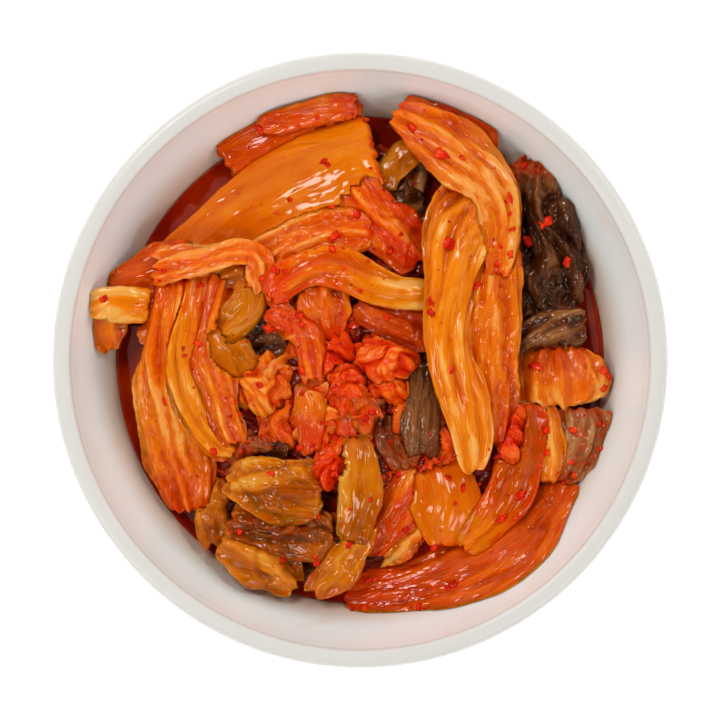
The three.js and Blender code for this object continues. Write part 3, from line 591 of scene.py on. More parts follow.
def crumples_at(piece, along, across, seed):
    """How far a place stands on a crumple, from 0 to 1. The crumples bend, and are longer than wide."""
    size = piece["size"]
    bent = 1.3 * noise.noise(Vector((along / 8, across / 8, seed + 40)))
    share = 0.7 * billow(0.55 * along / size, across / size + bent, seed + 21)
    return share + 0.3 * billow(1.5 * along / size, 2.2 * across / size + bent, seed + 29)


def pleats_of(piece, widest, seed):
    """The place, half width in mm and height of each pleat, unevenly spread from edge to edge."""
    chance = random.Random(seed)
    reach = 1 + abs(piece["slant"]) / 2
    count = max(round(reach * widest / piece["vein_gap"]), 2)
    pleats = []
    for i in range(count):
        middle = reach * (2 * (i + chance.uniform(0.1, 0.9)) / count - 1)
        pleats.append((middle, piece["vein_gap"] * chance.uniform(0.5, 0.85), chance.uniform(0.4, 1)))
    return pleats


def relief_at(piece, pleats, u, along, v, wide, seed):
    """The relief's height in mm at a place on a strip, and how far the place stands on a crest, from 0 to 1."""
    ridge = 0
    for number, (middle, breadth, height) in enumerate(pleats):
        drift = 0.3 * noise.noise(Vector((along / 13, 5 * number, seed))) + piece["slant"] * (u - 0.5)
        swell = 0.75 + 0.8 * noise.noise(Vector((along / 11, 5 * number, seed + 5)))
        apart = (v - middle - drift) * wide / breadth
        ridge = max(ridge, height * swell * (1 - apart * apart))
    across = v * wide
    crumple = crumples_at(piece, along, across, seed)
    bent = 1.2 * noise.noise(Vector((along / 9, across / 6, seed + 50)))
    fold = piece["fold"] * (billow(along / 9, across / 1.4 + bent, seed + 33) - 0.5)
    lift = piece["vein"] * (ridge - 0.5) + piece["crumple"] * (crumple - 0.5) + fold
    contrast = min(piece["vein"] / 0.6, 1)
    return lift, 0.5 + contrast * (0.75 * min(ridge, 1) + 0.25 * crumple - 0.5) + 0.6 * fold


# %% The plain strip
def axes_at(rows, u):
    """The strip's own axes, and the other values of its stations, at a share u of its length."""
    x, y, z, half_width, roll, arch, tone, red = smooth_curve(rows, u)
    before, after = [Vector(smooth_curve(rows, u + step)[:3]) for step in (-1e-4, 1e-4)]
    tangent = (after - before).normalized()
    side = Vector((0, 0, 1)).cross(tangent).normalized()
    up = tangent.cross(side)
    turn = Quaternion(tangent, math.radians(roll))
    side.rotate(turn)
    up.rotate(turn)
    bend = max(math.radians(arch) / 2 * FLATTER, 1e-4)
    return Vector((x, y, z)), tangent, side, up, max(half_width, 0.2), bend, tone, red


def strip_length(rows):
    """Length of the spine in mm."""
    points = [Vector(smooth_curve(rows, i / 60)[:3]) for i in range(61)]
    return sum((b - a).length for a, b in zip(points, points[1:]))


def section_point(piece, axes, u, v):
    """A point of the plain strip's top, and its outward direction, at v from -1 to 1 across."""
    centre, tangent, side, up, half_width, bend, tone, red = axes
    angle = bend * v
    radius = half_width / bend
    normal = up * math.cos(angle) + side * math.sin(angle)
    rib = piece["rib_height"] * math.cos(math.pi * piece["ribs"] * v)
    wave = math.sin(2 * math.pi * piece["waves"] * u + (0 if v > 0 else 2))
    point = centre + side * radius * math.sin(angle) - up * radius * (1 - math.cos(angle))
    return point + normal * (rib + piece["ruffle"] * wave * v * v), normal


# %% [markdown]
# ## Laying the pieces from the top down
#
# In the bowl, a piece that lies lower is pressed flat by what lies on it. We build in the same order as the
# CAD part, from the top down, and keep a search tree of everything that was laid. A ray that starts below and
# looks up meets the lowest underside above a point. A new piece may not rise above that, and it may not go
# through the wall of the bowl.

# %% What is laid already
laid = []  # (search tree, lowest x and y, highest x and y) of each piece, in mm
GROUND, SKY = -5, 80  # mm: rays start well below or well above everything


def roof_over(x, y, above=laid):
    """The height that a piece may reach at (x, y), below the pieces above it."""
    roof = math.inf
    for search, low, high in above:
        if low[0] <= x <= high[0] and low[1] <= y <= high[1]:
            hit = search.ray_cast(Vector((x, y, GROUND)), Vector((0, 0, 1)))[0]
            if hit:
                roof = min(roof, hit.z - GAP)
    return roof


def kept_inside(point):
    """The point, moved in from the bowl's wall where it would go through it."""
    away = math.hypot(point.x, point.y)
    limit = inner_radius(max(point.z, FLOOR_TOP + 1)) - WALL_GAP
    if away > limit:
        point.x *= limit / away
        point.y *= limit / away
    return point


def top_at(search, x, y):
    """Where a ray from high above meets one laid piece: place, normal, face and distance, or four None."""
    return search.ray_cast(Vector((x, y, SKY)), Vector((0, 0, -1)))


def lay(bm):
    """Remember a finished piece, so that the next ones stay below it."""
    xs, ys = zip(*[(v.co.x, v.co.y) for v in bm.verts])
    laid.append((BVHTree.FromBMesh(bm), (min(xs), min(ys)), (max(xs), max(ys))))


widest_place = kept_inside(Vector((RIM_RADIUS, 0, BRINE_LEVEL)))
print("room at the brine's level:", round(widest_place.x, 1), "mm each way")


# %% Start from a flat slab
def new_leaf_mesh():
    """An empty mesh with the four attributes that the leaf materials read."""
    bm = bmesh.new()
    layers = [bm.verts.layers.float.new(name) for name in ("tone", "red", "crest")]
    return bm, layers + [bm.verts.layers.float_vector.new("grain")]


def add_slab(bm, length, width, step):
    """Add a flat closed slab: x and y run from -1 to 1 and z from 0 to 1. Returns its corners."""
    sheet = bmesh.ops.create_grid(
        bm, x_segments=max(int(length / step), 8), y_segments=max(int(width / step), 6), size=1
    )
    faces = list({face for vert in sheet["verts"] for face in vert.link_faces})
    slab = bmesh.ops.extrude_face_region(bm, geom=faces, use_keep_orig=True)
    raised = [g for g in slab["geom"] if isinstance(g, bmesh.types.BMVert)]
    bmesh.ops.translate(bm, vec=(0, 0, 1), verts=raised)
    corners = sheet["verts"] + raised
    faces = list({face for vert in corners for face in vert.link_faces})
    bmesh.ops.recalc_face_normals(bm, faces=faces)
    return corners


# %% Tear and curl the edges
TEARS = ((1.6, 0.3), (9, 2))  # length and depth in mm of the tears along an edge
END_TEAR = (1.4, 1.6)  # width and depth in mm of the tears at an end
EDGE_CURL = (8, 1.4)  # length and height in mm of the waves that lift an edge
NARROWEST = 0.2  # mm: half the width that is left in any case


def torn_half_width(piece, half_width, along, length, v, seed):
    """Half the width in mm at a place along the strip, with its narrow ends and the tears of its edges."""
    which_edge = 3 if v > 0 else 8
    tear = piece["ragged"] * sum(
        depth * noise.noise(Vector((along / size, which_edge, seed + 2 * i)))
        for i, (size, depth) in enumerate(TEARS)
    )
    end = min(along, length - along) / piece["round_end"]
    narrow = math.sqrt(max(1 - (1 - min(end, 1)) ** 2, 0))
    full = piece["end_width"] + (1 - piece["end_width"]) * narrow
    return max((half_width + piece["margin"]) * full + tear * v**4, NARROWEST)


def torn_point(piece, axes, u, v, along, seed):
    """A point of the strip's top, with curled edges and torn ends, and its outward direction."""
    tangent, wide = axes[1], axes[4]
    point, normal = section_point(piece, axes, u, v)
    curl = EDGE_CURL[1] * noise.noise(Vector((along / EDGE_CURL[0], 3 * v, seed + 9)))
    point += normal * curl * piece["ragged"] * v**4
    end_tear = END_TEAR[1] * noise.noise(Vector((v * wide / END_TEAR[0], u * 5, seed + 4)))
    point += tangent * end_tear * piece["ragged"] * (2 * u - 1) ** 6
    return point, normal


# %% [markdown]
# A leaf has a top and an underside. Only the top is seen, so it alone carries the relief, and the underside
# stays plain. Towards an edge the two come together in a round rim. Where the top would rise into a piece that
# lies above, both go down.

# %% Bend the slab into a strip
EDGE_ROUND = 0.8  # mm from the edge over which the relief starts
EDGE_PASTE = 1.8  # mm: paste gathers this far in from an edge
BEND_SHARE = 0.8  # a strip is at most this share of the radius of its bend thick
RIM_SHARE, RIM_LEAST = 0.6, 0.12  # how wide the round rim is, and how thick its edge, for a thickness of 1


def both_faces(piece, pleats, axes, u, v, length, seed, above):
    """The places of the strip's top and underside at (u, v), and how far the top stands on a crest."""
    along, wide, bend = u * length, axes[4], axes[5]
    point, normal = torn_point(piece, axes, u, v, along, seed)
    lift, crest = relief_at(piece, pleats, u, along, v, wide, seed)
    thickness = piece["edge"] + (piece["middle"] - piece["edge"]) * (1 - v * v)
    thickness = min(thickness, BEND_SHARE * wide / bend)
    inward = min((1 - abs(v)) * wide, along, length - along)
    rounding = min(inward / (RIM_SHARE * thickness), 1)
    share = max(math.sqrt(1 - (1 - rounding) ** 2), RIM_LEAST)
    surface = point + normal * lift * min(inward / EDGE_ROUND, 1)
    drop = max(surface.z - roof_over(surface.x, surface.y, above), 0)
    sunk = Vector((0, 0, -drop))
    middle = point - normal * thickness / 2 + sunk
    upper = middle + (surface + sunk - middle) * share
    lower = middle - normal * thickness / 2 * share
    return upper, lower, crest


def add_strip(bm, layers, piece, seed, above=laid):
    """Bend a flat slab into a strip, with its folds, torn edges and attributes."""
    rows = piece["stations"]
    tone_layer, red_layer, crest_layer, grain_layer = layers
    length = strip_length(rows)
    widest = 2 * max(row[3] for row in rows)
    corners = add_slab(bm, length, widest, piece["step"])
    pleats = pleats_of(piece, widest, seed)
    axes_of, found = {}, {}
    for vert in corners:
        x, v, top = vert.co
        u = (x + 1) / 2
        along = u * length
        key = (round(x, 5), round(v, 5))
        if key not in found:
            if key[0] not in axes_of:
                axes_of[key[0]] = axes_at(rows, u)
            centre, tangent, side, up, half_width, bend, tone, red = axes_of[key[0]]
            wide = torn_half_width(piece, half_width, along, length, v, seed)
            axes = (centre, tangent, side, up, wide, bend, tone, red)
            faces = both_faces(piece, pleats, axes, u, v, length, seed, above)
            found[key] = (*faces, tone, red, v * wide)
        upper, lower, crest, tone, red, across = found[key]
        edge = 1 - min((1 - abs(v)) * widest / 2, along, length - along) / EDGE_PASTE
        vert.co = kept_inside(upper.copy() if top > 0.5 else lower.copy())
        vert[tone_layer] = tone
        vert[red_layer] = red + piece["edge_red"] * max(edge, 0)
        vert[crest_layer] = crest
        vert[grain_layer] = (along * piece["fineness"], across * piece["fineness"], seed)


def build_strip(piece, seed):
    """The mesh of one strip."""
    bm, layers = new_leaf_mesh()
    add_strip(bm, layers, piece, seed)
    return bm


# %% Crumple a ball into a lump
LUMP_RELIEF = 2  # mm
LUMP_LEAN = 0.7  # how far the crumples lean over, so that they also run down the sides


def build_lump(piece, seed):
    """Crumple a fine ball into a lump of leaf."""
    bm, (tone_layer, red_layer, crest_layer, grain_layer) = new_leaf_mesh()
    bmesh.ops.create_icosphere(bm, subdivisions=6, radius=1)
    radii, centre, turn = Vector(piece["radii"]), Vector(piece["centre"]), piece["turn"]
    for vert in bm.verts:
        x, y, z = vert.co
        dent = math.sin(5 * x + 3 * y + turn) * math.sin(4 * y - 5 * z + 2 * turn)
        outward = Vector((x / radii.x, y / radii.y, z / radii.z)).normalized()
        plain = vert.co * (1 + piece["dents"] * dent) * radii
        lying = Vector((plain.x + LUMP_LEAN * plain.z, plain.y - LUMP_LEAN * plain.z, 0))
        lying.rotate(Quaternion((0, 0, 1), turn))
        crest = crumples_at(piece, lying.x, lying.y, seed)
        point = centre + plain + outward * LUMP_RELIEF * (crest - 0.5)
        point.z = min(point.z, roof_over(point.x, point.y))
        vert.co = kept_inside(point)
        vert[tone_layer] = piece["tone"]
        vert[red_layer] = piece["red"]
        vert[crest_layer] = crest
        vert[grain_layer] = (lying.x, lying.y, seed)
    return bm


# %% [markdown]
# ## The pieces
#
# These tables repeat the CAD part's stations, in the same order, and add the tone and the redness of each
# station. The first pieces are the long folded leaf that lies over the right half, then the arch, the fan on
# the left, and so on down to the leaf that floats in the brine.
#
# The long folded leaf first. It lies over the right half. Its hood is its own top folded over, and its pale rib
# hangs down in front, to a point.

# %% The long folded leaf
long_leaf = [
    strip(
        "long_hood",
        "leaf",
        [
            (6.5, 49.2, 48.6, 1.6, 0, 40, 0.5, 0.3),
            (11.6, 47, 50.2, 4.1, -10, 70, 0.65, 0.15),
            (17.8, 43.1, 51.4, 6, -14, 80, 0.75, 0.1),
            (24, 37.4, 51.8, 5.2, -18, 80, 0.9, 0),
            (27.7, 31, 51.4, 3.6, -20, 70, 0.9, 0),
            (28.4, 24, 50.8, 2.6, -20, 60, 0.8, 0.1),
            (27.6, 17, 50, 1.5, -10, 50, 0.6, 0.3),
        ],
        ribs=3,
        middle=1.8,
        vein=1.6,
        vein_gap=2,
        slant=0.8,
        flakes=((0.15, -0.45, 2), (0.34, -0.5, 3.4), (0.67, 0.8, 2.6)),
    ),
    strip(
        "long_front",
        "stem",
        [
            (23.5, 35.5, 49.2, 5, 10, 50, 0.5, 0.35),
            (21.8, 29.6, 51, 8, 0, 70, 0.5, 0.05),
            (20.2, 23.6, 52.2, 7.6, -6, 90, 0.55, 0),
            (18.8, 16, 52.6, 5.5, -8, 100, 0.65, 0),
            (17.3, 7, 52.4, 4, 0, 100, 0.65, 0),
            (17.8, -1, 51.8, 4.2, 8, 90, 0.6, 0.05),
            (20.4, -9, 50.8, 4.7, 14, 80, 0.6, 0.15),
            (22.2, -16, 49.4, 4, 8, 80, 0.85, 0),
            (22.6, -22.2, 47.6, 1.8, 0, 60, 0.8, 0.15),
        ],
        ribs=3,
        middle=2.4,
        vein=1.8,
        vein_gap=2.4,
        slant=-1,
        flakes=(
            (0.05, -0.75, 2.8),
            (0.27, -0.41, 3.4),
            (0.2, 0.73, 2.2),
            (0.45, -0.85, 2),
            (0.64, -0.05, 1.8),
        ),
    ),
    strip(
        "long_back",
        "leaf",
        [
            (27.6, 24.6, 48.4, 3.2, -10, 50, 0.6, 0.2),
            (26.8, 15, 49.6, 5, -10, 70, 0.8, 0.1),
            (25.8, 6, 49.8, 5.8, -8, 70, 0.85, 0.1),
            (25.4, -3, 49.2, 5.6, 0, 60, 0.75, 0.1),
            (25.8, -10.5, 47.6, 4, 0, 50, 0.55, 0.2),
            (26.4, -16.6, 46, 1.8, 0, 40, 0.4, 0.35),
        ],
        ribs=3,
        vein=1.6,
        slant=0.8,
        flakes=((0.22, -0.8, 2.2),),
    ),
    strip(
        "hood_layer",
        "leaf",
        [
            (9, 50.6, 46, 1.6, 0, 40, 0.3, 0.15),
            (15, 50, 47.4, 2.6, 0, 60, 0.35, 0.15),
            (21, 46.4, 47.4, 2.6, 0, 60, 0.35, 0.15),
            (26, 40.6, 46.2, 1.4, 0, 40, 0.3, 0.1),
        ],
    ),
]
print("long leaf:", len(long_leaf), "pieces")

# %% [markdown]
# A thick rib stands in an arch in the middle. A strand hangs down from it, and a skirt of leaf spreads
# below.

# %% The arched stem
arch_pieces = [
    strip(
        "arch_stem",
        "stem",
        [
            (-18.1, 12.2, 48, 1.3, 6, 60, 0.4, 0.75),
            (-15.3, 15, 49.6, 2.6, 10, 80, 0.45, 0.6),
            (-9.5, 17.8, 50.6, 3, 10, 90, 0.5, 0.35),
            (-3.5, 18.4, 50.8, 3.5, -10, 90, 0.55, 0.25),
            (2.5, 15.4, 50.6, 3.4, -14, 90, 0.75, 0.1),
            (8, 13.7, 49.8, 2.8, 0, 100, 0.9, 0),
            (15, 13.4, 48.6, 2.5, 0, 100, 0.7, 0),
        ],
        middle=2.2,
        vein_gap=2,
        slant=0.6,
    ),
    strip(
        "hanging_strand",
        "leaf",
        [
            (-18.3, 10.2, 47.4, 1.2, 0, 60, 0.5, 0.6),
            (-14.4, 8.4, 48.4, 1.5, 0, 90, 0.6, 0.5),
            (-11.4, 5.8, 49, 1.8, 0, 100, 0.7, 0.35),
            (-10.2, 0.6, 49, 1.7, 0, 100, 0.6, 0.35),
            (-9.2, -4.6, 48, 1.1, 0, 80, 0.5, 0.4),
        ],
        rib_height=0.1,
        vein=1.3,
        vein_gap=1.2,
        slant=0.6,
        crumple=0.9,
        size=3,
        ragged=1.4,
    ),
    strip(
        "arch_skirt",
        "leaf",
        [
            (-0.6, 12.4, 47, 2, 0, 40, 0.3, 0.15),
            (5, 9.6, 47.8, 3.6, 0, 60, 0.3, 0.15),
            (10.4, 7, 47.4, 3.8, 0, 60, 0.2, 0.2),
            (14.6, 3.4, 46.4, 2, 0, 50, 0.15, 0.2),
        ],
    ),
]
print("arch:", len(arch_pieces), "pieces")

# %% [markdown]
# At the left a leaf opens as a fan. Its edge is rolled up and thick with paste, and a yellow green curl lies
# in it.

# %% The rolled edge of the fan
fan_edge = [
    strip(
        "rolled_edge",
        "red_leaf",
        [
            (-41, 18.2, 49, 1.4, 0, 60, 0.8, 0.2),
            (-37, 19, 50.3, 2.8, -6, 100, 1, 0.1),
            (-31, 20, 50.8, 3.1, -6, 110, 1.05, 0.05),
            (-25, 21.3, 50.6, 2.9, -6, 100, 1, 0.05),
            (-20.6, 20.4, 50, 2.3, -6, 90, 1, 0.1),
            (-19.3, 16.6, 49.2, 2, -6, 80, 1, 0.15),
            (-19.4, 12, 48, 1, 0, 60, 0.8, 0.3),
        ],
        ribs=3,
        vein=1.4,
        vein_gap=1.3,
        slant=0.7,
        ragged=1.8,
    ),
    strip(
        "edge_spike",
        "red_leaf",
        [
            (-37.2, 23.6, 48, 0.5, 0, 30, 0.6, 0.4),
            (-36, 21.6, 48.8, 1.1, 0, 60, 0.6, 0.4),
            (-34.6, 19.6, 49.4, 1.4, 0, 60, 0.6, 0.4),
        ],
        rib_height=0,
        ruffle=0.1,
    ),
    strip(
        "green_curl",
        "green_leaf",
        [
            (-27.6, 16, 47.6, 1.4, 0, 50, 0.4, 0.2),
            (-23.9, 17.6, 48.8, 1.9, -10, 70, 0.6, 0.15),
            (-21.4, 14.6, 49.4, 2.1, -20, 80, 0.75, 0.1),
            (-22, 10.6, 49, 2.6, -20, 80, 0.8, 0.05),
            (-25, 7.2, 48, 2.7, -16, 70, 0.75, 0),
            (-27.6, 5.2, 47, 1.4, 0, 50, 0.6, 0),
        ],
        crumple=0.2,
    ),
    strip(
        "green_sliver",
        "green_leaf",
        [
            (-29, 6, 48, 1.3, 0, 50, 0.7, 0.1),
            (-27, 3.6, 48.6, 2.1, 0, 70, 0.8, 0),
            (-24.6, 0.6, 48.2, 2.2, 0, 70, 0.7, 0),
            (-22, -2.4, 47.2, 0.8, 0, 50, 0.6, 0.1),
        ],
        rib_height=0.1,
        crumple=0.2,
    ),
]
print("fan edge:", len(fan_edge), "pieces")

# %% [markdown]
# The fan itself has three layers, with long ribs that run down the bowl, and a torn spike beside them.

# %% The layers of the fan
fan_layers = [
    strip(
        "fan_inner",
        "leaf",
        [
            (-26.4, 16.8, 46.8, 1.7, 0, 60, 0.7, 0.3),
            (-28.8, 9, 49.4, 2.3, 0, 80, 0.75, 0.25),
            (-29.2, 2, 50, 2.8, 0, 90, 0.7, 0.25),
            (-28.2, -4.4, 49.6, 2.9, 0, 90, 0.8, 0.2),
            (-26.8, -10.2, 48.2, 2.6, 0, 80, 0.75, 0.2),
            (-24.7, -16.6, 46.2, 1.6, 0, 60, 0.6, 0.2),
        ],
        crumple=0.2,
        vein=1.3,
        vein_gap=1.5,
        slant=0.5,
    ),
    strip(
        "fan_middle",
        "stem",
        [
            (-30.4, 18.6, 46.8, 2.8, 0, 50, 0.5, 0.35),
            (-32.2, 9.6, 49.4, 3.6, 0, 70, 0.6, 0.25),
            (-33.6, 0, 49.6, 4.4, 0, 80, 0.75, 0.15),
            (-32.4, -8.6, 48.2, 4.6, 0, 80, 0.85, 0.1),
            (-28.8, -15.3, 46.4, 3.6, 0, 70, 0.75, 0.1),
            (-24.8, -18.4, 44.6, 1.8, 0, 50, 0.6, 0.2),
        ],
        ribs=3,
        vein=1.7,
        vein_gap=1.9,
        slant=0.6,
    ),
    strip(
        "fan_outer",
        "leaf",
        [
            (-35.6, 19, 45.8, 3.2, 0, 40, 0.6, 0.35),
            (-36.6, 10, 48.8, 4.6, 0, 70, 0.7, 0.25),
            (-37.2, 0.6, 48.4, 6.2, 0, 90, 0.7, 0.2),
            (-37.2, -8, 47, 7.5, 0, 100, 1, 0),
            (-36, -16, 45, 8.2, 0, 100, 0.95, 0),
            (-34.9, -23, 43.4, 6.8, 0, 90, 0.65, 0.05),
            (-34.2, -30.6, 41.2, 2.6, 0, 60, 0.4, 0.4),
        ],
        ribs=3,
        rib_height=0.35,
        middle=1.8,
        vein=1.8,
        vein_gap=2.3,
        slant=0.8,
    ),
    strip(
        "torn_spike",
        "leaf",
        [
            (-44.6, 4, 44.6, 0.5, 0, 30, 0.8, 0.2),
            (-42, 5.6, 45.8, 1.1, 0, 60, 0.8, 0.2),
            (-38.6, 8, 46.6, 1.5, 0, 60, 0.7, 0.3),
        ],
        rib_height=0,
        ruffle=0.1,
    ),
]
print("fan layers:", len(fan_layers), "pieces")

# %% [markdown]
# On the far left a stem leans on the wall of the bowl. The rest of it is buried.

# %% The stem end at the wall
left_end = [
    strip(
        "stem_end",
        "stem",
        [
            (-53.6, 10, 49.8, 1.5, 0, 50, 0.95, 0),
            (-50, 11.4, 51, 2.4, 0, 80, 1.05, 0),
            (-45, 10.7, 50.6, 2.9, 0, 90, 1, 0),
            (-39.4, 10.2, 49, 2.6, 0, 70, 0.75, 0.2),
        ],
        fineness=0.6,
        fold=0.15,
        flakes=((0.3, 0.3, 1.6),),
    ),
    strip(
        "stem_end_flap",
        "stem",
        [
            (-50.4, 9.6, 48.4, 3.4, 0, 40, 0.65, 0),
            (-50.6, 5.6, 47, 3.2, 0, 50, 0.5, 0),
            (-49.8, 1.6, 45, 1.4, 0, 40, 0.4, 0),
        ],
        middle=1.8,
        fineness=0.6,
        fold=0.15,
    ),
    strip(
        "buried_stem",
        "leaf",
        [
            (-49.8, 14.2, 45, 1.6, 0, 40, 0.5, 0.1),
            (-45, 16.3, 45.8, 3.2, -10, 60, 0.5, 0.1),
            (-39, 18.6, 45.8, 3.8, -10, 60, 0.45, 0.1),
            (-33, 21.5, 44.6, 2.8, -10, 50, 0.4, 0.1),
        ],
        middle=2,
        vein=0.2,
        crumple=0.15,
        fineness=0.5,
        fold=0.12,
    ),
]
print("stem end:", len(left_end), "pieces")

# %% [markdown]
# Some leaf is crumpled so much that it has no length or width any more. A ball with dents does better there
# than a strip: it has a centre, three radii, and a turn for its dents.

# %% The crumpled middle
middle_pieces = [
    strip(
        "ruffled_leaf",
        "leaf",
        [
            (-7.4, 16, 47.8, 3, 0, 50, 0.6, 0.1),
            (-7.2, 12.4, 49, 4.6, 0, 70, 0.7, 0.1),
            (-6.6, 8.2, 48.6, 4.6, 0, 70, 0.75, 0.2),
            (-5.6, 4.4, 47, 2.8, 0, 50, 0.6, 0.5),
        ],
        ribs=3,
        rib_height=0.45,
        ruffle=0.6,
        crumple=0.8,
        edge_red=0.3,
    ),
    strip(
        "dripping_shred",
        "leaf",
        [
            (-11, -6.4, 48.4, 1, 0, 60, 0.9, 0.05),
            (-9.7, -10, 49, 1.5, 0, 90, 0.9, 0.1),
            (-9.8, -14.5, 48, 1.4, 0, 90, 0.6, 0.4),
            (-9.4, -19, 46, 0.7, 0, 60, 0.6, 0.4),
        ],
        rib_height=0.1,
        crumple=0.15,
    ),
    lump("crumple_right", "red_leaf", (-2.6, -5.4, 45.8), (3.7, 4.5, 3.2), turn=2, tone=0.5, red=0.45),
    lump("crumple_front", "red_leaf", (-8.6, -11, 45), (4.9, 6.9, 3.2), turn=3, tone=0.7, red=0.25),
    lump("crumple_left", "leaf", (-19.6, -4.6, 45.6), (6.1, 5.4, 3), turn=1, tone=0.6, red=0.3),
    lump("crumple_low", "leaf", (-16, -11.8, 44.4), (4.7, 6.8, 3), turn=5, tone=0.5, red=0.3),
    lump("crumple_top", "red_leaf", (-6.4, 2.6, 45.2), (4.6, 5.4, 3), turn=4, tone=0.45, red=0.7),
    lump("red_lump", "red_leaf", (5.2, 1, 45.6), (6.4, 4.7, 3.6), turn=6, tone=0.6, red=0.5),
    lump("red_lump_low", "red_leaf", (4.6, -6.2, 44.2), (4.2, 3.2, 2.6), turn=7, tone=0.5, red=0.3),
    lump("red_cluster", "red_leaf", (-6, -20.6, 46), (2.4, 4.2, 2.4), turn=8, tone=0.5, red=0.8),
    lump("right_paste", "red_leaf", (29.4, -13.6, 44.6), (2.9, 6.4, 3), turn=9, tone=0.5, red=0.6),
]
print("middle:", len(middle_pieces), "pieces")

# %% [markdown]
# Now the pieces that lie lower. Those at the top left fan out from behind the arch, and the broad stem is the
# palest of them.

# %% The stems and leaves at the top
upper_pieces = [
    strip(
        "striped_leaf",
        "red_leaf",
        [
            (-21, 18.8, 46.8, 3, 0, 40, 0.95, 0),
            (-14, 22.3, 48.4, 4, 0, 60, 1, 0),
            (-6, 25.2, 48.8, 4.3, 0, 70, 0.95, 0.1),
            (2.4, 25.4, 47.6, 3, 0, 50, 0.9, 0.3),
        ],
        ribs=3,
        vein_gap=1.7,
        flakes=((0.7, -0.2, 2.6),),
    ),
    strip(
        "red_fold",
        "red_leaf",
        [
            (-1.6, 34, 47.4, 3.2, 0, 40, 0.7, 0.2),
            (2.8, 28.8, 47.8, 4.4, 0, 70, 0.65, 0.25),
            (7.2, 24, 47.2, 5.2, 0, 90, 0.7, 0.35),
            (12.4, 19.6, 45.8, 3.9, 0, 80, 0.6, 0.55),
        ],
        rib_height=0.5,
        ruffle=0.6,
        crumple=0.8,
        size=4,
    ),
    strip(
        "broad_stem",
        "stem",
        [
            (-38, 17.8, 43.4, 5.2, -16, 50, 0.4, 0),
            (-24.2, 28.6, 45.6, 7.8, -18, 60, 0.5, 0),
            (-9, 36.6, 47.6, 9.4, -18, 66, 0.6, 0),
            (3.4, 39.8, 48.2, 11, -14, 56, 0.75, 0.2),
        ],
        middle=3,
        edge=1.4,
        rib_height=0.2,
        vein=0.2,
        vein_gap=4,
        fineness=0.45,
        fold=0.1,
        edge_red=0.5,
        flakes=((0.74, 0.1, 1.6),),
    ),
    strip(
        "top_ribbon",
        "leaf",
        [
            (-20, 46.6, 45, 1.1, 0, 40, 0.5, 0.3),
            (-13, 48.8, 46.4, 1.5, 0, 80, 0.7, 0.2),
            (-7, 49.8, 47, 1.6, 0, 80, 0.7, 0.2),
            (-3, 50.2, 47.4, 2.5, 0, 90, 0.7, 0.25),
            (-0.6, 50.2, 46.6, 1.2, 0, 60, 0.5, 0.4),
        ],
        rib_height=0.1,
        crumple=0.2,
    ),
    strip(
        "back_stem",
        "leaf",
        [
            (-27, 39.4, 42, 3.2, 10, 30, 0.35, 0.05),
            (-18, 43.6, 43.4, 3.6, 10, 40, 0.4, 0.05),
            (-8, 47, 44.6, 3.4, 10, 40, 0.4, 0.1),
            (1, 48.6, 44.4, 2.4, 0, 30, 0.35, 0.15),
        ],
        middle=2,
        vein=0.2,
        crumple=0.15,
        fineness=0.5,
        fold=0.12,
    ),
]
print("top:", len(upper_pieces), "pieces")

# %% [markdown]
# Leaves from the outside of a cabbage stay greener. A bunch of them lies at the lower left, in soft wide folds.

